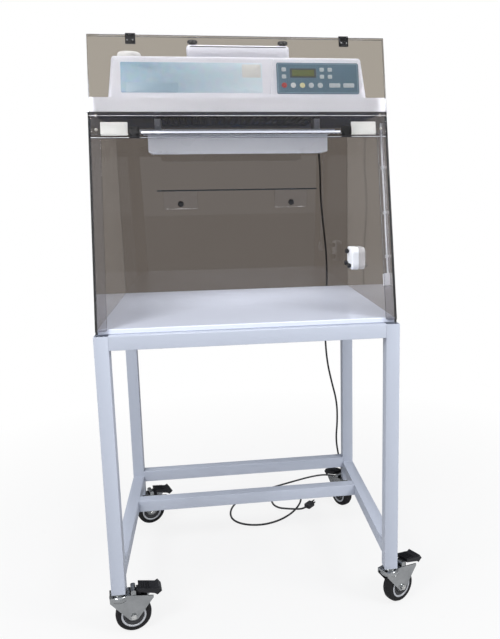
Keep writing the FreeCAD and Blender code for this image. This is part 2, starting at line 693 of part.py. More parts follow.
def slab_outline(body, name, half_width, widest, front, back, lift):
    """A rectangle on the floor plane, centred on X = widest, from front to back."""
    left = "%s - (%s)" % (widest, half_width)
    right = "%s + (%s)" % (widest, half_width)
    points = [(left, front), (right, front), (right, back), (left, back)]
    return outline(body, name, "XY_Plane", points, lift)


def head():
    """The moulded head: a flared ledge, a narrower body over it and a hollow underside."""
    slope = "(front_lean / cabinet_height)"
    back = "cabinet_depth + ledge_back_reach"
    middle = "ledge_width"
    ledge_front = "front_lean + ledge_setback"
    ledge_top_front = "front_lean + ledge_setback + ledge_height * " + slope
    face = "front_lean + head_setback / cos(%s)" % LEAN
    body_front = "%s + ledge_height * %s" % (face, slope)
    top_front = "%s + (ledge_height + head_rise) * %s" % (face, slope)
    body_back = "cabinet_depth - head_back_gap"
    top = "ledge_height + head_rise"
    body = new_body("head_body")
    first = slab_outline(body, "ledge_low", "ledge_width / 2", middle, ledge_front, back, "0")
    second = slab_outline(body, "ledge_high", "ledge_width / 2 - 3", middle, ledge_top_front, back,
                          "ledge_height")
    loft(body, "ledge_loft", first, second)
    third = slab_outline(body, "body_low", "head_width / 2", middle, body_front, body_back, "ledge_height")
    fourth = slab_outline(body, "body_high", "head_top_width / 2", middle, top_front, body_back, top)
    loft(body, "body_loft", third, fourth)
    ledge_wall = "ledge_width / 2 - head_wall"
    fifth = slab_outline(body, "hollow_low", ledge_wall + " + 1.4", middle, ledge_front + " + head_wall",
                         back + " - head_wall + 1.4", "0")
    sixth = slab_outline(body, "hollow_mid", ledge_wall + " - 2", middle, ledge_top_front + " + head_wall",
                         back + " - head_wall", "ledge_height - head_wall")
    loft(body, "hollow_ledge", fifth, sixth, "PartDesign::SubtractiveLoft")
    seventh = slab_outline(body, "room_low", "head_width / 2 - head_wall", middle,
                           body_front + " + head_wall", body_back + " - head_wall",
                           "ledge_height - head_wall - 1")
    eighth = slab_outline(body, "room_high", "head_top_width / 2 - head_wall", middle,
                          top_front + " + head_wall", body_back + " - head_wall", top + " - head_wall")
    loft(body, "hollow_room", seventh, eighth, "PartDesign::SubtractiveLoft")
    outer = val("ledge_width / 2")
    inner_bound = val("head_top_width / 2 - head_wall / 2")
    roof = val(top) - 0.5

    def corner(edge):
        """The rising outside corners of the ledge and of the body."""
        a, b = edge.Vertexes[0], edge.Vertexes[-1]
        if abs(a.Z - b.Z) < 5:
            return False
        reach = min(abs(a.X - val(middle)), abs(b.X - val(middle)))
        if reach > outer - 4:
            return True
        return reach > inner_bound

    corners = rounded("head_corners", body, "head_corner_radius", corner)
    shaped = rounded("head_rim", corners, "head_corner_radius * 0.8",
                     lambda e: all(v.Z > roof for v in e.Vertexes))
    inlet = rod("lead_inlet", "gland_radius - 2", "4 * head_wall", middle + " + gland_place",
                back + " - 2 * head_wall", "ledge_height / 2", along="Y")
    seat = block("filter_door", "lid_width - 60", "lid_depth - 60", "3 * head_wall",
                 middle + " - lid_width / 2 + 30", top_front + " + lid_front_gap + 30",
                 top + " - 2 * head_wall")
    subpart(cut("head_ready", cut("head_inlet", shaped, inlet), seat), "head_housing", "-(%s)" % middle,
            "0", HEAD_BASE)
    lid = block("lid_block", "lid_width", "lid_depth", "lid_height")
    lid_soft = rounded("lid_soft", lid, "lid_corner_radius",
                       lambda e: runs_along(e, Vector(0, 0, 1)) or e.Vertexes[0].Z > val("lid_height") - 1
                       and e.Vertexes[-1].Z > val("lid_height") - 1)
    bay = block("lid_bay", "lid_width - 2 * head_wall", "lid_depth - 2 * head_wall",
                "lid_height - head_wall", "head_wall", "head_wall", "0")
    lid_z = "%s + %s" % (HEAD_BASE, top)
    lid_y = "%s + lid_front_gap" % top_front
    lid_cut = rounded("lid_bay_soft", bay, "lid_corner_radius - head_wall",
                      lambda e: runs_along(e, Vector(0, 0, 1)))
    subpart(cut("lid_shell", lid_soft, lid_cut), "filter_lid", "-lid_width / 2", lid_y, lid_z)
    knobs = []
    for number, x in enumerate(("-lid_width / 2 + knob_inset", "lid_width / 2 - knob_inset")):
        knob = new_body("lid_knob_%d" % number)
        points = [("0", "0"), ("knob_radius * 0.62", "0"), ("knob_radius * 0.68", "knob_height * 0.28"),
                  ("knob_radius", "knob_height * 0.42"), ("knob_radius", "knob_height * 0.8"),
                  ("knob_radius * 0.84", "knob_height"), ("0", "knob_height")]
        revolve(knob, "knob_turned_%d" % number,
                outline(knob, "knob_section_%d" % number, "XZ_Plane", points), "Z_Axis")
        knobs.append(place(knob, x, "0", "0"))
    subpart(group("lid_knob_set", *knobs), "lid_knobs", "0", lid_y + " + knob_inset", lid_z + " + lid_height")
    cap = rod("cap_disc", "cap_radius", "cap_height")
    cap_soft = rounded("cap_soft", cap, "cap_height * 0.45",
                       lambda e: e.Curve.TypeId == "Part::GeomCircle" and e.Curve.Center.z > 1)
    subpart(cap_soft, "round_cap", "-cap_place", "%s + cap_radius + head_corner_radius + 2" % top_front, lid_z)
    keypad = block("keypad_sheet", "keypad_width", "keypad_wall", "keypad_height", "keypad_left",
                   "head_setback - keypad_wall", SLOPE + " + ledge_height / cos(%s) + keypad_rise" % LEAN)
    keypad_soft = rounded("keypad_soft", keypad, "keypad_rise / 4",
                          lambda e: runs_along(e, Vector(0, 1, 0)))
    leaning(keypad_soft, "control_keypad")


def air_system():
    """The pleated filter on the deck and the blower that feeds it."""
    filter_y = "cabinet_depth - deck_opening_back - deck_opening_depth / 2"
    body = new_body("filter_body")
    box_points = [("0", "0"), ("filter_width", "0"), ("filter_width", "filter_depth"),
                  ("0", "filter_depth")]
    pad(body, "filter_case", outline(body, "filter_plan", "XY_Plane", box_points), "filter_height")
    slot = outline(body, "pleat_plan", "XY_Plane",
                   [("filter_frame", "filter_frame + 10"),
                    ("filter_frame + pleat_pitch / 2", "filter_frame + 10"),
                    ("filter_frame + pleat_pitch / 2", "filter_depth - filter_frame - 10"),
                    ("filter_frame", "filter_depth - filter_frame - 10")])
    pleat = pad(body, "pleat_slot", slot, "pleat_depth", reverse=True, operation="PartDesign::Pocket")
    row = body.newObject("PartDesign::LinearPattern", "pleat_row")
    row.Originals = [pleat]
    row.Direction = (role_plane(body, "X_Axis"), "")
    bind(row, Length="(floor((filter_width - 2 * filter_frame) / pleat_pitch) - 1) * pleat_pitch",
         Occurrences="floor((filter_width - 2 * filter_frame) / pleat_pitch)")
    body.Tip = row
    deck_top = HEAD_BASE + " + sheet_wall"
    subpart(body, "hepa_filter", "-filter_width / 2", filter_y + " - filter_depth / 2", deck_top)
    base = deck_top + " + filter_height"
    can = rod("motor_can", "motor_radius", "motor_height")
    can_soft = rounded("motor_soft", can, "motor_radius / 10",
                       lambda e: e.Curve.TypeId == "Part::GeomCircle" and e.Curve.Center.z > 1)
    shaft = rod("motor_shaft", "shaft_radius", "motor_height + 18")
    subpart(fuse("motor_piece", can_soft, shaft), "blower_motor", "0", filter_y, base)
    rotor = new_body("rotor_body")
    half = "rotor_height - rotor_plate"
    section = [("shaft_radius + running_gap", half), ("rotor_radius", half), ("rotor_radius", "rotor_height"),
               ("shaft_radius * 2", "rotor_height"), ("shaft_radius * 2", "rotor_height + 10"),
               ("shaft_radius + running_gap", "rotor_height + 10")]
    revolve(rotor, "rotor_disc", outline(rotor, "rotor_section", "XZ_Plane", section), "Z_Axis")
    blade = outline(rotor, "blade_plan", "XY_Plane",
                    [("rotor_inner_radius", "0"), ("rotor_radius - 0.5", "rotor_radius * 0.16"),
                     ("rotor_radius - 0.5", "rotor_radius * 0.16 + blade_wall"),
                     ("rotor_inner_radius", "blade_wall")])
    blades = pad(rotor, "blade", blade, half + " + 0.5")
    wheel = rotor.newObject("PartDesign::PolarPattern", "blade_ring")
    wheel.Originals = [blades]
    wheel.Axis = (role_plane(rotor, "Z_Axis"), "")
    wheel.Angle = 360
    bind(wheel, Occurrences="blade_count")
    rotor.Tip = wheel
    doc.recompute()
    ring = cut("shroud_ring", rod("shroud_out", "rotor_radius", "rotor_plate"),
               rod("shroud_in", "rotor_inner_radius + 2", "3 * rotor_plate", "0", "0", "-rotor_plate"))
    subpart(fuse("rotor_piece", rotor, ring), "blower_wheel", "0", filter_y, base + " + 3")


def lamp():
    """The white lamp box hung under the deck, open below, with two tube lamps in clips."""
    wall = "lamp_wall"
    drop = "cabinet_height - lamp_drop - lamp_height"
    shell = block("lamp_outside", "lamp_width", "lamp_depth", "lamp_height")
    shell_soft = rounded("lamp_soft", shell, "lamp_height / 14",
                         lambda e: runs_along(e, Vector(0, 1, 0)) and e.Vertexes[0].Z < 1)
    bay = block("lamp_bay", "lamp_width - 24", "lamp_depth - 2 * lamp_wall", "lamp_height - lamp_wall",
                "12", wall, "-lamp_wall")
    flange = block("lamp_flange", "lamp_width + 2 * lamp_flange_reach", "lamp_depth + lamp_flange_reach",
                   "4 * lamp_wall", "-lamp_flange_reach", "0", "lamp_height")
    hangers = [block("lamp_hanger_%d" % n, "18", "lamp_depth * 0.6", "lamp_drop - 4 * lamp_wall", x,
                     "lamp_depth * 0.2", "lamp_height + 4 * lamp_wall")
               for n, x in enumerate(("20", "lamp_width - 38"))]
    case = fuse("lamp_case", cut("lamp_open", shell_soft, bay), flange, *hangers)
    subpart(case, "lamp_housing", "-lamp_width / 2", "lamp_front", "stand_top + " + drop)
    tubes = []
    for n, y in enumerate(("lamp_depth * 0.3", "lamp_depth * 0.7")):
        glass = rod("lamp_tube_%d" % n, "tube_lamp_radius", "lamp_width - 24", "12", y,
                    "tube_lamp_radius + 8", along="X")
        tubes.append(glass)
    subpart(group("lamp_tube_set", *tubes), "lamp_tubes", "-lamp_width / 2", "lamp_front", "stand_top + " + drop)


def shelf_and_fittings():
    """The folded clear shelf, the port cover, their thumb screws and the door switch."""
    inside_back = "cabinet_depth - sheet_wall"
    inside_right = "cabinet_width / 2 - sheet_wall"
    plate = block("shelf_plate", "shelf_width", "shelf_depth", "shelf_wall", "-shelf_width / 2",
                  inside_back + " - shelf_depth", "shelf_place")
    tabs = [block("shelf_tab_%d" % n, "tab_width", "shelf_wall", "tab_height", x + " - tab_width / 2",
                  inside_back + " - shelf_wall", "shelf_place - tab_height + 0.5")
            for n, x in enumerate(("-tab_centre", "tab_centre"))]
    subpart(fuse("shelf_folded", plate, *tabs), "clear_shelf", "0", "0", "stand_top")
    port = block("port_block", "port_wall", "port_width", "port_height")
    port_soft = rounded("port_soft", port, "port_corner_radius", lambda e: runs_along(e, Vector(1, 0, 0)))
    port_eased = rounded("port_eased", port_soft, "3",
                         lambda e: max(v.X for v in e.Vertexes) < 0.01)
    subpart(port_eased, "port_cover", inside_right + " - port_wall", "port_place", "stand_top + port_rise")
    screws = []
    places = [(x, inside_back + " - shelf_wall", "shelf_place - 44", "Y") for x in ("-tab_centre", "tab_centre")]
    port_face = inside_right + " - port_wall"
    places += [(port_face, "port_place + port_width * 0.66", "port_rise + port_height * 0.8", "X"),
               (port_face, "port_place + port_width * 0.27", "port_rise + port_height * 0.18", "X"),
               (port_face, "port_place + port_width * 0.83", "port_rise + port_height * 0.24", "X")]
    for n, (x, y, z, axis) in enumerate(places):
        if axis == "Y":
            screws.append(rod("thumb_%d" % n, "thumb_radius", "thumb_height", x, y + " - thumb_height", z,
                              along="Y"))
        else:
            screws.append(rod("thumb_%d" % n, "thumb_radius * 0.8", "thumb_height",
                              x + " - thumb_height", y, z, along="X"))
    subpart(group("thumb_set", *screws), "thumb_screws", "0", "0", "stand_top")
    switch = block("switch_block", "switch_wall", "switch_width", "switch_height",
                   inside_right + " - switch_wall", "switch_place", "switch_rise - switch_height")
    leaning(switch, "door_switch")
    line = rod("conduit_run", "conduit_radius", HINGE_LINE + " + header_height - 20 - switch_rise",
               inside_right + " - conduit_radius", "conduit_place", "switch_rise")
    clips = [block("conduit_clip_%d" % n, "2 * conduit_radius + 2", "14", "7",
                   inside_right + " - 2 * conduit_radius - 2", "conduit_place - 9", z)
             for n, z in enumerate(("switch_rise + 45", "switch_rise + 170", "switch_rise + 300"))]
    leaning(fuse("conduit_piece", line, *clips), "switch_conduit")


def hinge_leaf(name, x, axis_y, axis_z, face_y, side, middle):
    """One leaf: a plate on the sheet, a web and its knuckles; side is 1 above the pin, -1 below.

    The middle leaf has one knuckle, the outer leaf has two, each shorter by a gap.
    """
    third = "hinge_width / 3"
    toward = 1 if val(face_y) > val(axis_y) else -1
    plate_y = face_y + (" - hinge_leaf_wall" if toward > 0 else "")
    start = "knuckle_radius + 1"
    plate_z = axis_z + (" + " + start if side > 0 else " - (%s) - hinge_leaf_height" % start)
    plate = block(name + "_plate", "hinge_width", "hinge_leaf_wall", "hinge_leaf_height",
                  x + " - hinge_width / 2", plate_y, plate_z)
    spans = [("-hinge_width / 6 + knuckle_gap", third + " - 2 * knuckle_gap")]
    if not middle:
        spans = [("-hinge_width / 2", third), ("hinge_width / 6", third)]
    pieces = [plate]
    for n, (start_x, width) in enumerate(spans):
        at = "%s + %s" % (x, start_x)
        pieces.append(rod("%s_knuckle_%d" % (name, n), "knuckle_radius", width, at, axis_y, axis_z, along="X"))
        web_z = axis_z if side > 0 else axis_z + " - (%s) - 2" % start
        near = plate_y
        depth = "hinge_leaf_wall"
        pieces.append(block("%s_web_%d" % (name, n), width, depth, start + " + 2", at, near, web_z))
        if abs(val(face_y) - val(axis_y)) > val("knuckle_radius") + 0.5:
            reach = "(%s) - (%s)" % ((face_y, axis_y) if toward > 0 else (axis_y, face_y))
            arm_y = axis_y if toward > 0 else face_y
            arm_z = axis_z if side > 0 else axis_z + " - knuckle_radius"
            pieces.append(block("%s_arm_%d" % (name, n), width, reach, "knuckle_radius", at, arm_y, arm_z))
    leaf = fuse(name + "_joined", *pieces)
    bore = "pin_radius + running_gap" if middle else "pin_radius"
    hole = rod(name + "_bore", bore, "2 * hinge_width", x + " - hinge_width", axis_y, axis_z, along="X")
    return cut(name, leaf, hole)


def hinge_pin(name, x, axis_y, axis_z):
    return rod(name, "pin_radius", "hinge_width", x + " - hinge_width / 2", axis_y, axis_z, along="X")


def sash():
    """The two-leaf clear sash, folded and turned up in front of the head, and its hinges.

    Its pins stand in front of the sheets, so both leaves hang in one plane when it is shut.
    """
    header_pin = "-(sash_gap + sheet_wall + knuckle_radius)"
    upper_back = "-(sash_gap + sheet_wall + 2 * knuckle_radius)"
    upper_front = upper_back + " - sheet_wall"
    fold_pin = upper_front + " - fold_gap / 2"
    lower_back = upper_front + " - fold_gap"
    fold_z = HINGE_LINE + " + 2 * edge_gap + upper_sheet"
    leaning(block("upper_leaf", "sash_width", "sheet_wall", "upper_sheet", "-sash_width / 2",
                  upper_front, HINGE_LINE + " + edge_gap"), "sash_upper")
    leaning(block("lower_leaf", "sash_width", "sheet_wall", "lower_sheet", "-sash_width / 2",
                  lower_back + " - sheet_wall", fold_z + " - edge_gap - lower_sheet"), "sash_lower")
    fixed, swinging, folding = [], [], []
    for n, x in enumerate(("-hinge_place", "hinge_place")):
        fixed.append(fuse("header_leaf_piece_%d" % n,
                          hinge_leaf("header_leaf_%d" % n, x, header_pin, HINGE_LINE, "0", 1, False),
                          hinge_pin("header_pin_%d" % n, x, header_pin, HINGE_LINE)))
        swinging.append(hinge_leaf("door_leaf_%d" % n, x, header_pin, HINGE_LINE, upper_back, 1, True))
        swinging.append(fuse("fold_leaf_piece_%d" % n,
                             hinge_leaf("fold_leaf_%d" % n, x, fold_pin, fold_z, upper_front, -1, False),
                             hinge_pin("fold_pin_%d" % n, x, fold_pin, fold_z)))
        folding.append(hinge_leaf("flap_leaf_%d" % n, x, fold_pin, fold_z, lower_back, -1, True))
    leaning(group("header_leaf_set", *fixed), "header_hinge_leaves")
    leaning(group("upper_leaf_set", *swinging), "upper_sash_hinge_leaves")
    leaning(group("lower_leaf_set", *folding), "lower_sash_hinge_leaves")
    print("header pin, leaning frame", val(header_pin), val(HINGE_LINE))
    print("fold pin, leaning frame", val(fold_pin), val(fold_z))


# The lead's route from the gland on the back of the head to the plug on the floor
ROUTE = [
    (310, 685, 1456), (310, 718, 1456), (311, 743, 1424), (313, 748, 1376), (317, 735, 1296),
    (313, 712, 1196), (320, 698, 1094), (330, 692, 986), (331, 692, 884), (326, 694, 774),
    (322, 693, 668), (329, 690, 570), (346, 690, 490), (366, 692, 410), (368, 693, 330),
    (362, 696, 258), (373, 712, 190), (392, 752, 124), (408, 800, 62), (412, 856, 16),
    (398, 908, 4.2), (352, 930, 3.6), (292, 918, 3.6), (226, 890, 3.6), (150, 856, 3.6),
    (72, 820, 3.6), (2, 776, 3.6), (-46, 716, 3.6), (-64, 650, 3.6), (-56, 588, 3.6),
    (-14, 546, 3.6), (50, 532, 3.6), (112, 552, 3.6), (164, 596, 3.6), (199, 648, 3.6),
    (222, 706, 3.6), (226, 766, 3.6), (188, 808, 3.6), (134, 794, 3.6), (104, 742, 3.6),
    (106, 688, 3.6), (126, 645, 9), (152, 617, 18), (190, 606, 18), (216, 617, 12),
    (234, 637, 9.5),
]


def rounded_path(points):
    """Straight runs joined by tangent arcs, each as large as its two runs allow."""
    share = 0.45
    edges = []
    start = points[0]
    radii = []
    for n in range(1, len(points) - 1):
        before, here, after = points[n - 1], points[n], points[n + 1]
        back = (before - here).normalize()
        ahead = (after - here).normalize()
        turn = math.pi - back.getAngle(ahead)
        reach = share * min((before - here).Length, (after - here).Length)
        radius = reach / math.tan(turn / 2)
        radii.append((n, round(radius, 1), round(math.degrees(turn), 1)))
        first = here + back * reach
        last = here + ahead * reach
        middle_way = (back + ahead).normalize()
        centre_distance = math.hypot(reach, radius)
        middle = here + middle_way * (centre_distance - radius)
        edges.append(Part.LineSegment(start, first).toShape())
        edges.append(Part.Arc(first, middle, last).toShape())
        start = last
    edges.append(Part.LineSegment(start, points[-1]).toShape())
    return Part.Wire(edges), radii


def mains_lead():
    """The moulded lead with its gland and plug; its tube is swept along the rounded route."""
    points = [Vector(*p) for p in ROUTE]
    wire, radii = rounded_path(points)
    start = points[0]
    direction = (points[1] - points[0]).normalize()
    ring = Part.Wire([Part.Circle(start, direction, val("cord_radius")).toShape()])
    tube = Part.Wire(wire).makePipeShell([ring], True, False)
    lead = doc.addObject("Part::Feature", "lead_tube")
    lead.Shape = tube
    subpart(lead, "power_cord")
    print("cord radii", radii)
    print("cord length", wire.Length, "volume", tube.Volume, "section", tube.Volume / wire.Length)
    gland = doc.addObject("Part::Cone", "gland_cone")
    bind(gland, Radius1="gland_radius", Radius2="cord_radius + 1.5", Height="gland_length")
    gland.Placement = Placement(Vector(), Rotation(Vector(1, 0, 0), -90))
    collar = rod("gland_collar", "gland_radius + 3", "4", "0", "0", "0", along="Y")
    hole = rod("gland_bore", "cord_radius", "3 * gland_length", "0", "-gland_length", "0", along="Y")
    relief = cut("gland_bored", fuse("gland_piece", gland, collar), hole)
    subpart(relief, "strain_relief", "gland_place", "cabinet_depth + ledge_back_reach",
            "stand_top + cabinet_height + ledge_height / 2")
    end, before = points[-1], points[-2]
    body = block("plug_block", "plug_width", "plug_length", "plug_height", "-plug_width / 2", "0",
                 "-plug_height / 2")
    body_soft = rounded("plug_soft", body, "3.5",
                        lambda e: runs_along(e, Vector(0, 1, 0)) or e.Vertexes[0].Y < 0.1
                        and e.Vertexes[-1].Y < 0.1)
    blades = [block("plug_blade_%d" % n, "1.6", "17", "6.3", x, "plug_length - 1", "-3.15")
              for n, x in enumerate(("-6.35 - 0.8", "6.35 - 0.8"))]
    earth = rod("plug_earth", "2.4", "19", "0", "plug_length - 1", "5.6", along="Y")
    plug = fuse("plug_piece", body_soft, *blades, earth)
    return plug, end, before


def find_footprint(skip):
    """The middle of what stands on the floor, cord and plug apart."""
    boxes = [thing.Shape.BoundBox for label, thing in SUBPARTS.items() if label not in skip]
    return (-(min(b.XMin for b in boxes) + max(b.XMax for b in boxes)) / 2,
            -(min(b.YMin for b in boxes) + max(b.YMax for b in boxes)) / 2)


stand()
casters()
cabinet()
head()
air_system()
lamp()
shelf_and_fittings()
sash()
plug_shape, lead_end, lead_before = mains_lead()
subpart(plug_shape, "mains_plug")
heading = math.degrees(math.atan2(-(lead_end.x - lead_before.x), lead_end.y - lead_before.y))
plug_shape.Placement = Placement(Vector(), Rotation(Vector(0, 0, 1), heading))
place(plug_shape, "%f + origin_x" % lead_end.x, "%f + origin_y" % lead_end.y, "plug_height / 2 + 0.5")
doc.recompute()
middle_x, middle_y = find_footprint({"power_cord", "mains_plug", "strain_relief"})
sheet.set(ALIASES["origin_x"], "%.4f" % middle_x)
sheet.set(ALIASES["origin_y"], "%.4f" % middle_y)
doc.recompute()
print("origin", middle_x, middle_y)

for thing in doc.Objects:
    if any(word in ("Invalid", "Error") for word in thing.State):
        raise RuntimeError("%s failed: %s" % (thing.Label, thing.State))
for label, thing in SUBPARTS.items():
    if thing.Shape.isNull() or not thing.Shape.isValid():
        raise RuntimeError("%s has no valid shape" % label)
for label, thing in SUBPARTS.items():
    thing.Shape.exportStep("parts/%s.step" % label)
print(len(SUBPARTS), "sub-parts written")
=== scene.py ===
import json
import math
import bmesh
import bpy
import numpy as np
from mathutils import Matrix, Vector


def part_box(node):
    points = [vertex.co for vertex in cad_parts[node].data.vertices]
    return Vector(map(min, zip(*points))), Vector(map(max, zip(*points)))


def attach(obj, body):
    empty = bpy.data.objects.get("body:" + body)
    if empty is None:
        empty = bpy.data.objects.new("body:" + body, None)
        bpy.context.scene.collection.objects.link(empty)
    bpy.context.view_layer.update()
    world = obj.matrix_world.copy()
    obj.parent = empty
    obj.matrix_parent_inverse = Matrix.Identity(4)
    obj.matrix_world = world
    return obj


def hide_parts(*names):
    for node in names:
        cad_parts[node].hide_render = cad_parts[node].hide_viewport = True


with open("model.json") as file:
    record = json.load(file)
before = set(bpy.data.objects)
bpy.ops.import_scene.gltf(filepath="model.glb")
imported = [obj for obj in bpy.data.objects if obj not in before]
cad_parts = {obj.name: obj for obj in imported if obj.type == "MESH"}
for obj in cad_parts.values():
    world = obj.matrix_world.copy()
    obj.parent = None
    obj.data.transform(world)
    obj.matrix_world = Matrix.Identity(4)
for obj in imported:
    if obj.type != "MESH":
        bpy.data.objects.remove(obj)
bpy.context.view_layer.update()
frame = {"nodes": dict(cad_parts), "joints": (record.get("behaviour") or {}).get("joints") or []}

# Stand. Welded square steel tube with a pale powder coat: four legs, the top frame and the low rails.
# The coat has a faint orange-peel skin, and its colour and gloss drift slowly over the tube.


def coat_grain():
    """Node group: a fine peel height, and a slow cloud from 0 to 1 for colour and roughness."""
    group = bpy.data.node_groups.new("coat_grain", "ShaderNodeTree")
    face = group.interface
    face.new_socket("Peel size", in_out="INPUT", socket_type="NodeSocketFloat")
    face.new_socket("Cloud size", in_out="INPUT", socket_type="NodeSocketFloat")
    face.new_socket("Peel", in_out="OUTPUT", socket_type="NodeSocketFloat")
    face.new_socket("Cloud", in_out="OUTPUT", socket_type="NodeSocketFloat")
    nodes, links = group.nodes, group.links
    inside = nodes.new("NodeGroupInput")
    outside = nodes.new("NodeGroupOutput")
    where = nodes.new("ShaderNodeTexCoord")
    for number, (given, put_out, detail) in enumerate((("Peel size", "Peel", 2), ("Cloud size", "Cloud", 4))):
        noise = nodes.new("ShaderNodeTexNoise")
        noise.inputs["Detail"].default_value = detail
        links.new(where.outputs["Object"], noise.inputs["Vector"])
        links.new(inside.outputs[given], noise.inputs["Scale"])
        links.new(noise.outputs["Fac"], outside.inputs[put_out])
    return group


grain_group = coat_grain()


def finish(name, colour, shade, rough, rough_spread=0.06, peel=900.0, cloud=9.0, bump=0.12, depth=0.0002,
           metal=0.0, coat=0.0, clear=0.0, ior=1.5):
    """A finish whose colour goes from colour to shade, and whose roughness spreads, over the same slow cloud."""
    made = bpy.data.materials.new(name)
    made.use_nodes = True
    nodes, links = made.node_tree.nodes, made.node_tree.links
    skin_shader = nodes["Principled BSDF"]
    grain = nodes.new("ShaderNodeGroup")
    grain.node_tree = grain_group
    grain.inputs["Peel size"].default_value = peel
    grain.inputs["Cloud size"].default_value = cloud
    mix = nodes.new("ShaderNodeMix")
    mix.data_type = "RGBA"
    mix.inputs["A"].default_value = (*colour, 1)
    mix.inputs["B"].default_value = (*shade, 1)
    spread = nodes.new("ShaderNodeMapRange")
    spread.inputs["To Min"].default_value = max(rough - rough_spread, 0)
    spread.inputs["To Max"].default_value = rough + rough_spread
    links.new(grain.outputs["Cloud"], mix.inputs["Factor"])
    links.new(grain.outputs["Cloud"], spread.inputs["Value"])
    links.new(mix.outputs["Result"], skin_shader.inputs["Base Color"])
    links.new(spread.outputs["Result"], skin_shader.inputs["Roughness"])
    if bump:
        relief = nodes.new("ShaderNodeBump")
        relief.inputs["Strength"].default_value = bump
        relief.inputs["Distance"].default_value = depth
        links.new(grain.outputs["Peel"], relief.inputs["Height"])
        links.new(relief.outputs["Normal"], skin_shader.inputs["Normal"])
    skin_shader.inputs["Metallic"].default_value = metal
    skin_shader.inputs["Coat Weight"].default_value = coat
    skin_shader.inputs["Transmission Weight"].default_value = clear
    skin_shader.inputs["IOR"].default_value = ior
    return made


def dress(node, material):
    """Puts the finish on each slot of a CAD node."""
    thing = frame["nodes"][node]
    if not thing.material_slots:
        thing.data.materials.append(material)
    for place in thing.material_slots:
        place.material = material


def eased(node, body, material, width, segments=2, draw_in=0.0, smooth=True, edge=None):
    """A copy of a CAD node, drawn in by a hair, with its sharp edges rounded by width; it stands for the node.

    A sheet may have an edge finish: it goes on narrow faces that turn off the way of the largest one and not down.
    """
    narrow_area = 0.006
    source = frame["nodes"][node]
    shell = bmesh.new()
    shell.from_mesh(source.data)
    bmesh.ops.remove_doubles(shell, verts=shell.verts, dist=1e-6)
    bmesh.ops.dissolve_limit(shell, angle_limit=math.radians(1), verts=shell.verts, edges=shell.edges)
    for corner in shell.verts:
        corner.co -= corner.normal * draw_in
    mesh = bpy.data.meshes.new(node + "_eased")
    shell.to_mesh(mesh)
    shell.free()
    mesh.materials.clear()
    mesh.materials.append(material)
    broad = max(mesh.polygons, key=lambda face: face.area).normal.copy()
    if edge:
        mesh.materials.append(edge)
    for face in mesh.polygons:
        face.use_smooth = smooth
        rim = edge and face.area < narrow_area and abs(face.normal.dot(broad)) < 0.5 and face.normal.z > -0.6
        face.material_index = 1 if rim else 0
    piece = bpy.data.objects.new(node + "_eased", mesh)
    bpy.context.collection.objects.link(piece)
    bevel = piece.modifiers.new("round", "BEVEL")
    bevel.width = width
    bevel.segments = segments
    bevel.limit_method = "ANGLE"
    bevel.angle_limit = math.radians(30)
    bevel.harden_normals = smooth
    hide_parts(node)
    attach(piece, body)
    return piece


powder = finish("pale_powder_coat", (0.405, 0.435, 0.505), (0.385, 0.415, 0.485), 0.36, peel=1400, cloud=5, bump=0.10)
for tube in [n for n in frame["nodes"] if n.startswith(("leg_", "rail_"))]:
    eased(tube, "frame", powder, 0.0022, 3)

# Weld beads. Each rail's end is welded to the leg or rail it meets, ground and coated over.
# A bead is a small round rod along the seam, with the ripple of the weld left in it.


def skin(name, rings, material, body, smooth=True):
    """A closed mesh through rings, an array of ring, step and x y z; each end ring is closed by a fan."""
    count, steps = rings.shape[:2]
    points = np.vstack([rings.reshape(-1, 3), rings[0].mean(0), rings[-1].mean(0)])
    ring, step = np.meshgrid(np.arange(count - 1), np.arange(steps), indexing="ij")
    ahead = (step + 1) % steps
    quads = np.stack([ring * steps + step, ring * steps + ahead, (ring + 1) * steps + ahead,
                      (ring + 1) * steps + step], -1).reshape(-1, 4)
    turn = np.arange(steps)
    following = (turn + 1) % steps
    last = (count - 1) * steps
    fans = np.vstack([np.stack([following, turn, np.full(steps, count * steps)], -1),
                      np.stack([last + turn, last + following, np.full(steps, count * steps + 1)], -1)])
    mesh = bpy.data.meshes.new(name)
    mesh.from_pydata(points.tolist(), [], quads.tolist() + fans.tolist())
    shell = bmesh.new()
    shell.from_mesh(mesh)
    bmesh.ops.recalc_face_normals(shell, faces=shell.faces)
    shell.to_mesh(mesh)
    shell.free()
    mesh.materials.append(material)
    for face in mesh.polygons:
        face.use_smooth = smooth
    piece = bpy.data.objects.new(name, mesh)
    bpy.context.collection.objects.link(piece)
    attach(piece, body)
    return piece


def bead_rings(start, end, radius):
    """Rings along a line, each of radius times 1 + 0.12 sin of its place, so the bead ripples; ends taper."""
    start, end = np.array(start), np.array(end)
    way = (end - start) / np.linalg.norm(end - start)
    side = np.cross(way, (0.3, 0.5, 0.81))
    side /= np.linalg.norm(side)
    other = np.cross(way, side)
    share = np.linspace(0, 1, 30)
    size = radius * (1 + 0.12 * np.sin(share * 60)) * np.clip(np.minimum(share, 1 - share) * 14, 0.25, 1)
    turn = np.linspace(0, 2 * np.pi, 8, endpoint=False)
    circle = np.cos(turn)[:, None] * side + np.sin(turn)[:, None] * other
    return start + (end - start) * share[:, None, None] + size[:, None, None] * circle


weld_radius = 0.0016
weld_number = 0
for rail, along in (("rail_top_front", 0), ("rail_top_back", 0), ("rail_low_back", 0), ("rail_low_stretcher", 0),
                    ("rail_top_left", 1), ("rail_top_right", 1), ("rail_low_left", 1), ("rail_low_right", 1)):
    low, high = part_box(rail)
    for end in (low[along], high[along]):
        for rise in (low[2], high[2]):
            if rail.startswith("rail_top") and rise == high[2]:
                continue
            one, two = [low[0], low[1], rise], [high[0], high[1], rise]
            one[along] = two[along] = end
            weld_number += 1
            skin("weld_%02d" % weld_number, bead_rings(one, two, weld_radius), powder, "frame")

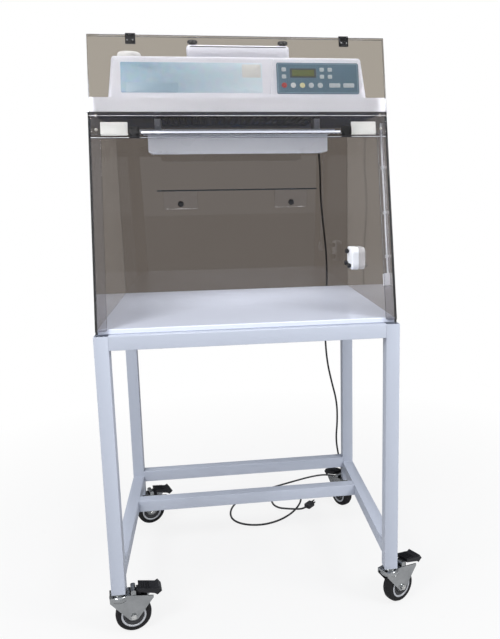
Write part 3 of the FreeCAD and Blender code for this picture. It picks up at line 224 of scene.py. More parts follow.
# Casters. Bright zinc-plated forks on ball races, black rubber tyres on dark hubs with pale rims, and black pedals.
# The lathe-turned pieces carry a profile round the axle or round the swivel.


def turned(profile, centre, axis, steps=40):
    """Rings of a profile of radius and height, carried round an axis through centre."""
    axis = np.array(axis, float) / np.linalg.norm(axis)
    side = np.cross(axis, (0.21, 0.37, 0.9) if abs(axis[2]) < 0.9 else (1.0, 0, 0))
    side /= np.linalg.norm(side)
    other = np.cross(axis, side)
    turn = np.linspace(0, 2 * np.pi, steps, endpoint=False)
    circle = np.cos(turn)[:, None] * side + np.sin(turn)[:, None] * other
    radius, height = np.array(profile, float).T
    return np.array(centre) + radius[:, None, None] * circle + height[:, None, None] * axis


zinc = finish("bright_zinc", (0.46, 0.47, 0.47), (0.27, 0.28, 0.285), 0.15, 0.09, peel=75, cloud=34, bump=0.8,
              depth=0.0030, metal=1.0)
nut_zinc = finish("nut_zinc", (0.72, 0.72, 0.70), (0.60, 0.60, 0.58), 0.18, 0.08, peel=500, cloud=30, bump=0.04,
                  metal=1.0)
rubber = finish("tyre_rubber", (0.006, 0.006, 0.007), (0.013, 0.012, 0.013), 0.66, 0.10, peel=1600, cloud=24,
                bump=0.15, ior=1.3)
hub_dark = finish("hub_dark", (0.030, 0.030, 0.033), (0.045, 0.045, 0.048), 0.50, 0.08, peel=1500, cloud=30, bump=0.10,
                  ior=1.35)
hub_pale = finish("hub_pale", (0.42, 0.43, 0.45), (0.36, 0.37, 0.39), 0.40, 0.08, peel=1500, cloud=30, bump=0.10)
pedal_black = finish("pedal_black", (0.009, 0.009, 0.011), (0.016, 0.016, 0.018), 0.44, 0.10, peel=1700, cloud=28,
                     bump=0.2, ior=1.35)
dress("caster_stems", zinc)
hub_half, nut_place, race_height = 0.016, 0.0222, 0.1170
rib_half, rib_radius, rib_step = 0.019, 0.0015, 0.0062
ringed = [(0.0290, -0.0040), (0.0290, -0.0012), (0.0255, -0.0009), (0.0235, -0.0004), (0.0205, -0.0030),
          (0.0150, -0.0052), (0.0120, -0.0052), (0.0115, -0.0006), (0.0075, -0.0006), (0.0075, -0.0050)]
rim = [(0.0345, -0.0040), (0.0345, -0.0004), (0.0335, 0.0004), (0.0310, 0.0006), (0.0292, 0.0002),
       (0.0284, -0.0040)]
nut = [(0.0086, -0.0002), (0.0086, 0.0042), (0.0076, 0.0050), (0.0046, 0.0050), (0.0046, 0.0066),
       (0.0038, 0.0074)]
race = [(0.0240, -0.0165), (0.0268, -0.0160), (0.0282, -0.0120), (0.0284, -0.0080), (0.0276, -0.0040),
        (0.0258, -0.0012), (0.0236, 0.0002), (0.0200, 0.0002)]
joint_of = {joint["name"]: joint for joint in frame["joints"]}
for corner in ("front_left", "front_right", "back_left", "back_right"):
    dress("caster_fork_" + corner, zinc)
    dress("caster_tyre_" + corner, rubber)
    dress("caster_hub_" + corner, hub_dark)
    dress("brake_pedal_" + corner, pedal_black)
    axle = np.array(joint_of["spin_" + corner]["pos_m"])
    across = np.array(joint_of["spin_" + corner]["axis"], float)
    trail = np.array([across[1], -across[0], 0.0])
    for side_name, side in (("near", -1), ("far", 1)):
        face = axle + across * side * hub_half
        skin("hub_face_%s_%s" % (corner, side_name), turned(ringed, face, across * side, 48), hub_dark,
             "wheel_" + corner)
        skin("hub_rim_%s_%s" % (corner, side_name), turned(rim, face, across * side, 56), hub_pale,
             "wheel_" + corner)
        nut_face = axle + across * side * nut_place
        skin("axle_nut_%s_%s" % (corner, side_name), turned(nut, nut_face, across * side, 6), nut_zinc,
             "caster_" + corner, smooth=False)
    swivel = np.array(joint_of["swivel_" + corner]["pos_m"])
    skin("swivel_race_" + corner, turned(race, (swivel[0], swivel[1], race_height), (0, 0, 1), 56), zinc,
         "caster_" + corner)
    foot = np.array(joint_of["brake_" + corner]["pos_m"])
    for row in range(5):
        middle = foot + trail * (0.006 + rib_step * row) + np.array([0, 0, 0.0262 - 0.0009 * row])
        skin("pedal_rib_%s_%d" % (corner, row),
             bead_rings(middle - across * rib_half, middle + across * rib_half, rib_radius), pedal_black,
             "pedal_" + corner)

# Work surface. A white laminate board with an eased front edge, which lies on the stand between the side sheets.
# Its finish is smooth and glossy, with faint cleaning haze.
board = finish("white_board", (0.60, 0.635, 0.735), (0.58, 0.615, 0.715), 0.16, 0.07, peel=300, cloud=4, bump=0.02,
               coat=0.3)
dress("work_surface", board)

# Clear cabinet sheets. Smoke-tinted 6 mm sheet, polished at its edges, cemented and screwed along its joints.
# The back is a deeper tint than the sides, and the sash is the lightest.


def tinted(name, tint, shade, ior=1.49):
    """A clear finish, almost smooth, whose tint is the colour of light that has passed through one face."""
    return finish(name, tint, shade, 0.015, 0.012, peel=40, cloud=6, bump=0.0, clear=1.0, ior=ior)


side_tint = tinted("side_sheet_tint", (0.72, 0.71, 0.73), (0.69, 0.68, 0.70))
header_tint = tinted("header_sheet_tint", (0.62, 0.63, 0.67), (0.60, 0.61, 0.65), 1.30)
back_tint = tinted("back_sheet_tint", (0.335, 0.315, 0.315), (0.315, 0.295, 0.295))
shelf_tint = tinted("shelf_tint", (0.90, 0.90, 0.93), (0.88, 0.88, 0.91))
sheet_edge = finish("sheet_edge_smoke", (0.020, 0.023, 0.027), (0.035, 0.038, 0.042), 0.16, 0.06, peel=300, cloud=30,
                    bump=0.05)
sash_tint = tinted("sash_sheet_tint", (0.99, 0.985, 0.975), (0.98, 0.975, 0.965), 1.30)
for sheet in ("panel_left", "panel_right", "front_strip_left", "front_strip_right"):
    eased(sheet, "frame", side_tint, 0.0006, 2, draw_in=0.0002, smooth=False, edge=sheet_edge)
eased("front_header", "frame", header_tint, 0.0006, 2, draw_in=0.0002, smooth=False)
eased("panel_back", "frame", back_tint, 0.0006, 2, draw_in=0.0002, smooth=False)
eased("clear_shelf", "frame", shelf_tint, 0.0006, 2, draw_in=0.0002, smooth=False, edge=sheet_edge)
eased("sash_upper", "sash_upper", sash_tint, 0.0008, 2, smooth=False, edge=sheet_edge)
eased("sash_lower", "sash_lower", sash_tint, 0.0008, 2, smooth=False, edge=sheet_edge)
# The top deck is painted near-black navy, as painted shade above the header.
deck_painted_shade = finish("dark_deck", (0.006, 0.016, 0.050), (0.010, 0.024, 0.070), 0.42, 0.06, peel=200, cloud=4,
                   bump=0.0, ior=1.12)
dress("top_deck", deck_painted_shade)

# Head. A moulded shell of fine-textured lavender white, with its filter lid, two lid knobs and a round cap.
# The filter and the blower stand inside it.
shell_white = finish("head_shell_white", (0.90, 0.90, 0.98), (0.87, 0.87, 0.96), 0.46, 0.08, peel=2600, cloud=7,
                     bump=0.30, depth=0.0003)
cap_white = finish("cap_white", (0.78, 0.77, 0.76), (0.72, 0.71, 0.70), 0.30, 0.06, peel=900, cloud=40, bump=0.05)
black = finish("black_moulding", (0.008, 0.008, 0.010), (0.014, 0.014, 0.016), 0.38, 0.08, peel=2000, cloud=40,
               bump=0.12, ior=1.35)
dress("head_housing", shell_white)
# The filter lid is the shell's white painted about a third darker, as painted shade.
lid_white_painted_shade = finish("lid_white_painted_shade", (0.62, 0.62, 0.69), (0.59, 0.59, 0.66), 0.46, 0.08, peel=2600, cloud=7, bump=0.30)
dress("filter_lid", lid_white_painted_shade)
dress("round_cap", cap_white)
dress("lid_knobs", black)
# The filter media is painted near-black navy, as painted shade seen through the header under the ledge.
hepa_media_painted_shade = finish("filter_media", (0.006, 0.016, 0.050), (0.010, 0.024, 0.070), 0.80, 0.08, peel=900, cloud=60,
               bump=0.0, ior=1.12)
motor = finish("motor_metal", (0.50, 0.51, 0.53), (0.42, 0.43, 0.45), 0.35, 0.08, peel=900, cloud=30, bump=0.08,
               metal=1.0)
dress("hepa_filter", hepa_media_painted_shade)
dress("blower_motor", motor)
dress("blower_wheel", motor)

# Name strip, sticker and header labels. Printed films on the head and header, left blank.
# The long strip fades from slate blue to pale blue, with one faint inner panel.
sheet_wall, cabinet_height, header_height = 0.006, 0.579, 0.070
shift_x = (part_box("leg_front_left")[0][0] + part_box("leg_front_right")[1][0]) / 2
lean = math.atan(0.127 / cabinet_height)
shift_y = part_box("panel_left")[0][1] - sheet_wall / math.cos(lean)
stand_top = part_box("rail_top_front")[1][2]


def on_front(x, y, z):
    """Points of the leaning front: turned back by the lean about the foot of the sheet, in metres."""
    x, y, z = np.broadcast_arrays(*(np.asarray(c, float) for c in (x, y, z)))
    return np.stack([x + shift_x, y * math.cos(lean) + z * math.sin(lean) + shift_y,
                     stand_top - y * math.sin(lean) + z * math.cos(lean)], -1)


def tile_rings(width, height, radius, thick, ease):
    """Rings of a rounded rectangle: its corner arcs pushed in by each inset, with the height of that ring."""
    turn = np.concatenate([np.linspace(q, q + np.pi / 2, 7) for q in np.arange(4) * np.pi / 2])
    sign_x = np.repeat([1, -1, -1, 1], 7)
    sign_y = np.repeat([1, 1, -1, -1], 7)
    rings = []
    for inset, rise in ((0, 0), (0, thick - ease), (ease * 0.3, thick - ease * 0.3), (ease, thick)):
        bend = max(radius - inset, radius * 0.2)
        rings.append(np.stack([sign_x * (width / 2 - radius) + bend * np.cos(turn),
                               sign_y * (height / 2 - radius) + bend * np.sin(turn),
                               np.full(28, rise)], -1))
    return np.array(rings)


def front_tile(name, x, z, width, height, radius, face, thick, material, body="frame", ease=None):
    """A rounded tile on the leaning front, centred on x and z, rising forward from the plane y = face."""
    ring = tile_rings(width, height, radius, thick, thick * 0.4 if ease is None else ease)
    return skin(name, on_front(x + ring[..., 0], face - ring[..., 2], z + ring[..., 1]), material, body)


shell_face, panel_face, label_face = 0.028, 0.0275, 0.0
strip_middle, strip_width = -0.1293, 0.3835
strip_film = bpy.data.materials.new("name_strip_film")
strip_film.use_nodes = True
strip_nodes, strip_links = strip_film.node_tree.nodes, strip_film.node_tree.links
strip_place = strip_nodes.new("ShaderNodeTexCoord")
strip_split = strip_nodes.new("ShaderNodeSeparateXYZ")
strip_share = strip_nodes.new("ShaderNodeMapRange")
strip_share.inputs["From Min"].default_value = shift_x + strip_middle - strip_width / 2
strip_share.inputs["From Max"].default_value = shift_x + strip_middle + strip_width / 2
strip_ramp = strip_nodes.new("ShaderNodeValToRGB")
strip_ramp.color_ramp.elements[0].color = (0.25, 0.40, 0.54, 1)
strip_ramp.color_ramp.elements[1].color = (0.74, 0.86, 0.95, 1)
strip_speck = strip_nodes.new("ShaderNodeTexNoise")
strip_speck.inputs["Scale"].default_value = 60
strip_mix = strip_nodes.new("ShaderNodeMix")
strip_mix.data_type = "RGBA"
strip_mix.blend_type = "SOFT_LIGHT"
strip_mix.inputs["Factor"].default_value = 0.35
strip_links.new(strip_place.outputs["Object"], strip_split.inputs[0])
strip_links.new(strip_split.outputs["X"], strip_share.inputs["Value"])
strip_links.new(strip_share.outputs["Result"], strip_ramp.inputs["Fac"])
strip_links.new(strip_place.outputs["Object"], strip_speck.inputs["Vector"])
strip_links.new(strip_ramp.outputs["Color"], strip_mix.inputs["A"])
strip_links.new(strip_speck.outputs["Color"], strip_mix.inputs["B"])
strip_links.new(strip_mix.outputs["Result"], strip_nodes["Principled BSDF"].inputs["Base Color"])
strip_nodes["Principled BSDF"].inputs["Roughness"].default_value = 0.28
front_tile("name_strip", strip_middle, 0.6962, strip_width, 0.084, 0.003, shell_face, 0.0006, strip_film)
pale_film = finish("pale_blue_film", (0.36, 0.50, 0.62), (0.34, 0.47, 0.59), 0.30, 0.04, peel=800, cloud=20,
                   bump=0.0)
front_tile("name_strip_panel", -0.2375, 0.668, 0.138, 0.028, 0.002, panel_face, 0.0004, pale_film)
blank_white = finish("blank_label_white", (0.78, 0.78, 0.77), (0.74, 0.74, 0.73), 0.42, 0.05, peel=900, cloud=30,
                     bump=0.05)
front_tile("blank_sticker", 0.033, 0.7156, 0.052, 0.0368, 0.002, panel_face, 0.0005, blank_white)
for side, x in (("left", -0.3395), ("right", 0.337)):
    front_tile("header_label_" + side, x, 0.547, 0.0705, 0.0357, 0.002, label_face, 0.0004, blank_white)

# Control panel. A slate-blue membrane keypad with a display window and raised key domes, bare of marks.
# Two of the round keys are coloured, one is white, and the rest are pale.
keypad_face = 0.0261
keypad_blue = finish("keypad_slate", (0.080, 0.160, 0.235), (0.095, 0.180, 0.255), 0.34, 0.05, peel=1800, cloud=25,
                     bump=0.08)
dress("control_keypad", keypad_blue)
border = finish("keypad_border", (0.30, 0.40, 0.48), (0.27, 0.37, 0.45), 0.34, 0.05, peel=1800, cloud=25, bump=0.05)
key_pale = finish("key_pale", (0.55, 0.60, 0.64), (0.50, 0.55, 0.60), 0.32, 0.05, peel=1800, cloud=60, bump=0.05)
key_white = finish("key_white", (0.76, 0.78, 0.79), (0.71, 0.73, 0.75), 0.32, 0.05, peel=1800, cloud=60, bump=0.05)
key_red = finish("key_red", (0.50, 0.045, 0.045), (0.44, 0.040, 0.040), 0.32, 0.05, peel=1800, cloud=60, bump=0.05)
key_cream = finish("key_cream", (0.72, 0.68, 0.38), (0.66, 0.62, 0.34), 0.32, 0.05, peel=1800, cloud=60, bump=0.05)
display = finish("display_olive", (0.150, 0.175, 0.060), (0.130, 0.155, 0.050), 0.10, 0.03, peel=400, cloud=30,
                 bump=0.0, coat=0.6)
display_rim = finish("display_rim", (0.030, 0.042, 0.050), (0.040, 0.050, 0.060), 0.30, 0.05, peel=1800, cloud=30,
                     bump=0.0)


def front_height(world_z, face=shell_face):
    """How far up the leaning front a height above the floor lies, on the plane y = face."""
    return (world_z - stand_top + face * math.sin(lean)) / math.cos(lean)


def key(name, x, world_z, width, height, radius, material, rise=0.0009):
    """A soft-edged dome on the keypad's face, rounded over four fifths of its rise."""
    return front_tile(name, x, front_height(world_z), width, height, radius, keypad_face, rise, material,
                      ease=rise * 0.8)


for name, x, z, wide, tall in (("low", 0.2195, 0.6545, 0.225, 0.0016), ("high", 0.2195, 0.7365, 0.225, 0.0016),
                               ("left", 0.1065, 0.6955, 0.0016, 0.082), ("right", 0.3325, 0.6955, 0.0016, 0.082)):
    front_tile("keypad_line_" + name, x, z, wide, tall, 0.0007, keypad_face, 0.0004, border)
display_x, display_z, low_row_z = 0.1775, 1.546, 1.5122
key("display_frame", display_x, display_z, 0.074, 0.026, 0.003, display_rim, 0.0005)
key("display_window", display_x, display_z, 0.063, 0.0185, 0.0015, display, 0.0012)
for number, (x, z) in enumerate([(x, z) for x in (0.1235, 0.2309, 0.2539) for z in (1.5558, 1.5362)]):
    key("arrow_key_%d" % number, x, z, 0.0125, 0.0115, 0.003, key_pale)
for number, (x, colour) in enumerate(((0.1235, key_red), (0.1488, key_white), (0.1747, key_cream),
                                      (0.1994, key_pale), (0.2250, key_pale))):
    key("round_key_%d" % number, x, low_row_z, 0.0150, 0.0150, 0.0074, colour)
for number, x in enumerate((0.2664, 0.3066)):
    key("wide_key_%d" % number, x, low_row_z, 0.0318, 0.0122, 0.0028, key_pale)

# Lid seam and crease. A dark strip just under the lid's top is painted shade in the seam where the lid closes, and the
# shell steps down by the keypad.
# The strip is a soft black strip on the lid's front; the step is moulded into the shell.
seam_painted_shade = finish("lid_seam_painted_shade", (0.012, 0.012, 0.014), (0.020, 0.020, 0.024), 0.60, 0.08, peel=900, cloud=30,
                    bump=0.05)
lid_low, lid_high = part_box("filter_lid")
seam = tile_rings(lid_high[0] - lid_low[0] - 0.019, 0.0024, 0.0010, 0.0007, 0.0003)
# A dark strip just under the lid's top, painted shade in the seam.
skin("lid_seam", np.stack([seam[..., 0] + (lid_low[0] + lid_high[0]) / 2, lid_low[1] + 0.0002 - seam[..., 2],
                           seam[..., 1] + lid_high[2] - 0.0058], -1), seam_painted_shade, "frame")
crease_x, crease_middle, crease_slant = 0.0895, 0.7005, 0.118
crease = tile_rings(0.0036, 0.0990, 0.0016, 0.0022, 0.0016)
skin("shell_crease", on_front(crease_x + crease[..., 0] + crease[..., 1] * crease_slant,
                              shell_face + 0.0004 - crease[..., 2], crease_middle + crease[..., 1]),
     shell_white, "frame")

# Lamp. A white folded-steel box that hangs under the deck, with a flange along its top and two tubes inside.
# Four small lugs of its tube clips show below the box near its ends.
lamp_white = finish("lamp_white", (0.95, 0.95, 0.98), (0.93, 0.93, 0.96), 0.28, 0.06, peel=1200, cloud=6, bump=0.06)
eased("lamp_housing", "frame", lamp_white, 0.0008, 2)
tube_glass = finish("lamp_tube_glass", (0.80, 0.83, 0.86), (0.76, 0.79, 0.82), 0.22, 0.04, peel=300, cloud=20,
                    bump=0.0, coat=0.4)
dress("lamp_tubes", tube_glass)
lamp_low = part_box("lamp_housing")[0]
lug = tile_rings(0.007, 0.0075, 0.0015, 0.0014, 0.0005)
for number, x in enumerate((-0.233, -0.2135, 0.189, 0.232)):
    skin("lamp_lug_%d" % number, np.stack([lug[..., 0] + shift_x + x, lamp_low[1] + 0.0004 - lug[..., 2],
                                           lug[..., 1] + lamp_low[2] + 0.0006], -1), lamp_white, "frame")

# Port cover, switch, conduit and thumb screws on the right wall and the shelf.
# White mouldings; the thumb screws are black knobs with scalloped rims.
moulded_white = finish("moulded_white", (0.76, 0.77, 0.80), (0.72, 0.73, 0.76), 0.30, 0.06, peel=1200, cloud=20,
                       bump=0.06)
for node in ("port_cover", "door_switch", "switch_conduit"):
    dress(node, moulded_white)


def scalloped(centre, axis, radius, height, steps=64):
    """A knob: a turned profile whose radius swells and shrinks eight times round, most at its rim."""
    profile = [(0.55, 0.0), (0.62, 0.10), (0.95, 0.30), (1.0, 0.42), (1.0, 0.80), (0.94, 0.92), (0.80, 1.0),
               (0.45, 0.97)]
    rings = turned([(radius * r, height * h) for r, h in profile], centre, axis, steps)
    turn = np.linspace(0, 2 * np.pi, steps, endpoint=False)
    depth = np.array([0, 0, 0.05, 0.06, 0.06, 0.05, 0.02, 0])
    scale = 1 - depth[:, None] * (0.5 + 0.5 * np.cos(8 * turn))[None]
    middle = rings.mean(1, keepdims=True)
    return middle + (rings - middle) * scale[..., None]


inside_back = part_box("panel_back")[0][1]
inside_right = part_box("panel_right")[0][0]
clip_steel = finish("clip_screw_steel", (0.30, 0.30, 0.30), (0.24, 0.24, 0.24), 0.30, 0.06, peel=900, cloud=60,
                    bump=0.05, metal=1.0)
port_y, port_z, shelf_screw_z = 0.456, 0.093, 0.323
for number, x in enumerate((-0.194, 0.194)):
    skin("thumb_screw_%d" % number,
                      scalloped((x + shift_x, inside_back - 0.005, stand_top + shelf_screw_z), (0, -1, 0), 0.0105,
                                0.012),
                      black, "frame")
for number, (y, z) in enumerate(((port_y + 0.0594, port_z + 0.0608), (port_y + 0.0243, port_z + 0.01368),
                                 (port_y + 0.0747, port_z + 0.01824))):
    skin("port_screw_%d" % number,
                      scalloped((inside_right - 0.022, y + shift_y, stand_top + z), (-1, 0, 0), 0.0084, 0.012),
                      black, "frame")
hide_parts("thumb_screws")

# Screws. Small pan-head screws with a cross recess hold the header, the hinges and the conduit clips.
# A head is a dome on a grid, with a cross pressed into its middle.
screw_steel = finish("screw_steel", (0.62, 0.61, 0.59), (0.52, 0.51, 0.50), 0.28, 0.08, peel=900, cloud=60,
                     bump=0.05, metal=1.0)


def screw_rings(centre, out, radius):
    """A dome of height 0.45 radius times the root of one minus share squared, with a cross sunk in it."""
    out = np.array(out, float) / np.linalg.norm(out)
    side = np.cross(out, (1.0, 0, 0) if abs(out[0]) < 0.9 else (0, 1.0, 0))
    side /= np.linalg.norm(side)
    other = np.cross(out, side)
    share = np.array([1.0, 1.0, 0.94, 0.8, 0.62, 0.5, 0.38, 0.26, 0.14])[:, None]
    turn = np.linspace(0, 2 * np.pi, 32, endpoint=False)[None]
    along = share * np.cos(turn)
    over = share * np.sin(turn)
    rise = 0.45 * radius * np.sqrt(np.clip(1 - share ** 2, 0, 1)) + 0.12 * radius
    rise = np.where(np.arange(9)[:, None] == 0, -0.0004, rise + 0 * along)
    sunk = (np.minimum(np.abs(along), np.abs(over)) < 0.13) & (share < 0.66)
    rise = np.where(sunk, rise - 0.28 * radius, rise)
    return (np.array(centre) + radius * along[..., None] * side + radius * over[..., None] * other
            + rise[..., None] * out)


out_of_front = on_front(0, -1, 0) - on_front(0, 0, 0)
hinge_place, hinge_screw_reach, edge_gap, upper_leaf = 0.287, 0.007, 0.0045, 0.262
hinge_leaf_face, upper_leaf_face, lower_leaf_face = -0.0016, -0.0185, -0.0305
clip_x, clip_y = 0.3935, 0.0385
screw_number = 0
for x in (-0.386, 0.386):
    for z in (1.427, 1.390):
        screw_number += 1
        skin("header_screw_%d" % screw_number, screw_rings(on_front(x, 0, front_height(z, 0)), out_of_front, 0.0042),
             screw_steel, "frame")
for rise_up in (0.1905, 0.3155, 0.4455):
    screw_number += 1
    skin("clip_screw_%d" % screw_number, screw_rings(on_front(clip_x, clip_y, rise_up), (-1, 0, 0), 0.0022),
         clip_steel, "frame")
hinge_line = cabinet_height / math.cos(lean) - header_height
fold_line = hinge_line + 2 * edge_gap + upper_leaf
for x in (-hinge_place, hinge_place):
    for step in (-hinge_screw_reach, hinge_screw_reach):
        screw_number += 1
        skin("hinge_screw_%d" % screw_number, screw_rings(on_front(x + step, hinge_leaf_face, hinge_line + 0.0175),
                                                          out_of_front, 0.0022), clip_steel, "frame")
        screw_number += 1
        skin("fold_screw_%d" % screw_number, screw_rings(on_front(x + step, lower_leaf_face, fold_line - 0.0190),
                                                          out_of_front, 0.0019), clip_steel, "sash_lower")

# Edge highlights. Pale strips along the header's lower edge and the lower edge of the raised upper leaf are painted
# highlights, for the light these polished edges gather, which shows white.
edge_painted_highlight = finish("polished_edge_painted_highlight", (0.66, 0.68, 0.74), (0.60, 0.62, 0.68), 0.20, 0.06, peel=300, cloud=30, bump=0.0)
front_tile("header_edge_painted_highlight", 0.0, hinge_line + 0.0007, 0.800, 0.0014, 0.0006, 0.0, 0.0004, edge_painted_highlight)
# A dimmer painted highlight along the upper leaf's lower edge.
leaf_painted_highlight = finish("leaf_edge_painted_highlight", (0.46, 0.48, 0.54), (0.40, 0.42, 0.48), 0.20, 0.06, peel=300, cloud=30, bump=0.0)
front_tile("upper_leaf_edge_painted_highlight", 0.0, hinge_line + 0.0090, 0.536, 0.0055, 0.0006, upper_leaf_face, 0.0004, leaf_painted_highlight,
           "sash_upper")

# Hinges. Black moulded hinges join the header to the upper leaf, and the upper leaf to the lower one.
# The lower leaf hangs by its hinges in front of the upper one.
for node in ("header_hinge_leaves", "upper_sash_hinge_leaves", "lower_sash_hinge_leaves"):
    dress(node, black)

# Mains lead. A moulded flexible lead, black, from the gland at the back of the head down to the floor.
# It lies in two loose loops behind the stand and ends in a straight three-pin plug.
route = [
    (310, 685, 1456), (310, 718, 1456), (311, 743, 1424), (313, 748, 1376), (317, 735, 1296),
    (313, 712, 1196), (320, 698, 1094), (330, 692, 986), (331, 692, 884), (326, 694, 774),
    (322, 693, 668), (329, 690, 570), (346, 690, 490), (366, 692, 410), (368, 693, 330),
    (362, 696, 258), (373, 712, 190), (392, 752, 124), (408, 800, 62), (412, 856, 16),
    (398, 908, 4.2), (352, 930, 3.6), (292, 918, 3.6), (226, 890, 3.6), (150, 856, 3.6),
    (72, 820, 3.6), (2, 776, 3.6), (-46, 716, 3.6), (-64, 650, 3.6), (-56, 588, 3.6),
    (-14, 546, 3.6), (50, 532, 3.6), (112, 552, 3.6), (164, 596, 3.6), (199, 648, 3.6),
    (222, 706, 3.6), (226, 766, 3.6), (188, 808, 3.6), (134, 794, 3.6), (104, 742, 3.6),
    (106, 688, 3.6), (126, 645, 9), (152, 617, 18), (190, 606, 18), (216, 617, 12),
    (234, 637, 9.5),
]
route = np.array(route) / 1000 + (shift_x, shift_y, 0)
lead_skin = finish("lead_black", (0.016, 0.016, 0.018), (0.026, 0.026, 0.028), 0.48, 0.08, peel=1500, cloud=20,
                   bump=0.08)
lead_curve = bpy.data.curves.new("mains_lead", "CURVE")
lead_curve.dimensions = "3D"
lead_thick = 0.007
lead_curve.bevel_depth = lead_thick / 2
lead_curve.bevel_resolution = 5
lead_curve.use_fill_caps = True
lead_curve.resolution_u = 14
lead_line = lead_curve.splines.new("NURBS")
lead_line.points.add(len(route) - 1)
lead_line.points.foreach_set("co", np.hstack([route, np.ones((len(route), 1))]).ravel())
lead_line.order_u = 3
lead_line.use_endpoint_u = True
lead_curve.materials.append(lead_skin)
lead = bpy.data.objects.new("mains_lead", lead_curve)
bpy.context.collection.objects.link(lead)
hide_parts("power_cord")
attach(lead, "frame")
dress("strain_relief", black)
dress("mains_plug", lead_skin)

# Floor, light and camera. A plain pale floor, soft studio light, and the camera where the photograph was taken.
# Behind the clear sheets the room shows as a warm grey, and elsewhere the ground is white.
world = bpy.data.worlds.new("studio")
bpy.context.scene.world = world
world.use_nodes = True
sky_nodes, sky_links = world.node_tree.nodes, world.node_tree.links
sky = sky_nodes["Background"]
sky.inputs["Color"].default_value = (0.86, 0.88, 0.92, 1)
room_warm = (0.385, 0.352, 0.308, 1)
aim = sky_nodes.new("ShaderNodeTexCoord")
toward = sky_nodes.new("ShaderNodeVectorMath")
toward.operation = "DOT_PRODUCT"
toward.inputs[1].default_value = (-0.20, -0.62, 0.76)
glow = sky_nodes.new("ShaderNodeMapRange")
glow.inputs["From Min"].default_value = -0.4
glow.inputs["To Min"].default_value = 0.04
glow.inputs["To Max"].default_value = 1.15
sky_links.new(aim.outputs["Generated"], toward.inputs[0])
sky_links.new(toward.outputs["Value"], glow.inputs["Value"])
sky_links.new(glow.outputs["Result"], sky.inputs["Strength"])
seen = sky_nodes.new("ShaderNodeBackground")
seen.inputs["Color"].default_value = (1, 1, 1, 1)
behind = sky_nodes.new("ShaderNodeBackground")
behind.inputs["Color"].default_value = room_warm
ray = sky_nodes.new("ShaderNodeLightPath")
first = sky_nodes.new("ShaderNodeMixShader")
second = sky_nodes.new("ShaderNodeMixShader")
sky_links.new(ray.outputs["Is Camera Ray"], first.inputs["Fac"])
sky_links.new(sky.outputs[0], first.inputs[1])
sky_links.new(seen.outputs[0], first.inputs[2])
unscattered = sky_nodes.new("ShaderNodeMath")
unscattered.operation = "LESS_THAN"
unscattered.inputs[1].default_value = 0.5
through_sheet = sky_nodes.new("ShaderNodeMath")
through_sheet.operation = "MULTIPLY"
sky_links.new(ray.outputs["Diffuse Depth"], unscattered.inputs[0])
sky_links.new(ray.outputs["Is Transmission Ray"], through_sheet.inputs[0])
sky_links.new(unscattered.outputs[0], through_sheet.inputs[1])
sky_links.new(through_sheet.outputs[0], second.inputs["Fac"])
sky_links.new(first.outputs[0], second.inputs[1])
sky_links.new(behind.outputs[0], second.inputs[2])
sky_links.new(second.outputs[0], sky_nodes["World Output"].inputs["Surface"])

floor_mesh = bpy.data.meshes.new("floor")
floor_mesh.from_pydata([(-30, -30, 0), (30, -30, 0), (30, 30, 0), (-30, 30, 0)], [], [(0, 1, 2, 3)])
floor = bpy.data.objects.new("floor", floor_mesh)
bpy.context.collection.objects.link(floor)
floor_skin = finish("floor_white", (0.50, 0.50, 0.50), (0.48, 0.48, 0.485), 0.7, 0.05, peel=60, cloud=0.7, bump=0.0)
floor_mesh.materials.append(floor_skin)
ground, ground_links = floor_skin.node_tree.nodes, floor_skin.node_tree.links
ground_ray = ground.new("ShaderNodeLightPath")
ground_place = ground.new("ShaderNodeTexCoord")
ground_reach = ground.new("ShaderNodeVectorMath")
ground_reach.operation = "LENGTH"
ground_fade = ground.new("ShaderNodeMapRange")
ground_fade.inputs["From Min"].default_value = 0.5
ground_fade.inputs["To Min"].default_value = 0.84
ground_fade.inputs["From Max"].default_value = 1.9
ground_white = ground.new("ShaderNodeEmission")
ground_warm = ground.new("ShaderNodeEmission")
ground_warm.inputs["Color"].default_value = room_warm
ground_first = ground.new("ShaderNodeMixShader")
ground_second = ground.new("ShaderNodeMixShader")
ground_seen = ground.new("ShaderNodeMath")
ground_seen.operation = "MULTIPLY"
ground_near = ground.new("ShaderNodeMath")
ground_near.operation = "LESS_THAN"
ground_near.inputs[1].default_value = 0.5
ground_through = ground.new("ShaderNodeMath")
ground_through.operation = "MULTIPLY"
ground_links.new(ground_place.outputs["Object"], ground_reach.inputs[0])
ground_links.new(ground_reach.outputs["Value"], ground_fade.inputs["Value"])
ground_links.new(ground_fade.outputs["Result"], ground_seen.inputs[0])
ground_links.new(ground_ray.outputs["Is Camera Ray"], ground_seen.inputs[1])
ground_links.new(ground_seen.outputs[0], ground_first.inputs["Fac"])
ground_links.new(ground["Principled BSDF"].outputs[0], ground_first.inputs[1])
ground_links.new(ground_white.outputs[0], ground_first.inputs[2])
ground_links.new(ground_ray.outputs["Diffuse Depth"], ground_near.inputs[0])
ground_links.new(ground_ray.outputs["Is Transmission Ray"], ground_through.inputs[0])
ground_links.new(ground_near.outputs[0], ground_through.inputs[1])
ground_links.new(ground_through.outputs[0], ground_second.inputs["Fac"])
ground_links.new(ground_first.outputs[0], ground_second.inputs[1])
ground_links.new(ground_warm.outputs[0], ground_second.inputs[2])
ground_links.new(ground_second.outputs[0], ground["Material Output"].inputs["Surface"])


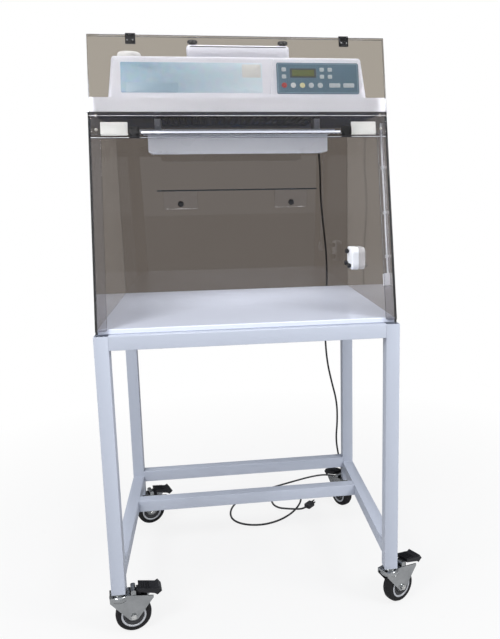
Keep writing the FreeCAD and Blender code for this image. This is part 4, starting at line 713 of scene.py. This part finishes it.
def soft_light(name, place, aim, size, watts):
    """A rectangular light whose own z axis points from aim back to place."""
    lamp_data = bpy.data.lights.new(name, "AREA")
    lamp_data.shape = "RECTANGLE"
    lamp_data.size, lamp_data.size_y = size
    lamp_data.energy = watts
    thing = bpy.data.objects.new(name, lamp_data)
    bpy.context.collection.objects.link(thing)
    away = np.array(place, float) - np.array(aim, float)
    away /= np.linalg.norm(away)
    side = np.cross((0, 0, 1.0), away)
    side /= np.linalg.norm(side)
    thing.matrix_world = Matrix(np.vstack([np.column_stack([side, np.cross(away, side), away, place]),
                                           (0, 0, 0, 1)]).tolist())
    return thing


soft_light("left_box", (-1.45, -1.75, 2.35), (0, -0.1, 0.95), (0.9, 0.9), 50)
soft_light("right_box", (1.95, -1.65, 2.25), (0, -0.1, 0.95), (0.9, 0.9), 50)
soft_light("top_light", (0.1, 0.2, 3.6), (0, 0, 1.0), (2.2, 2.2), 24)
soft_light("chamber_fill", (0, 0.13, 1.19), (0, 0.1301, 0.87), (0.66, 0.12), 1.9).visible_camera = False

camera_data = bpy.data.cameras.new("camera")
camera = bpy.data.objects.new("camera", camera_data)
bpy.context.collection.objects.link(camera)
bpy.context.scene.camera = camera
sensor, longer_side, focal = 36, 639, 670.23
camera_data.sensor_width = sensor
camera_data.lens = focal / longer_side * sensor
camera_data.shift_x = -54.03 / longer_side
camera_data.shift_y = -12.05 / longer_side
camera_data.clip_end = 200
yaw, pitch, roll = math.radians(7.99), math.radians(-10.16), math.radians(-0.88)
forward = np.array([math.sin(yaw) * math.cos(pitch), math.cos(yaw) * math.cos(pitch), math.sin(pitch)])
level = np.array([math.cos(yaw), -math.sin(yaw), 0])
rise = np.cross(level, forward)
right = math.cos(roll) * level + math.sin(roll) * rise
up = -math.sin(roll) * level + math.cos(roll) * rise
stand_at = np.array([shift_x - 0.10268, shift_y - 1.76989, 1.23199])
camera.matrix_world = Matrix(np.vstack([np.column_stack([right, up, -forward, stand_at]), (0, 0, 0, 1)]).tolist())
bpy.context.scene.view_settings.view_transform = "Standard"
bpy.context.scene.cycles.max_bounces = 28
bpy.context.scene.cycles.transmission_bounces = 28
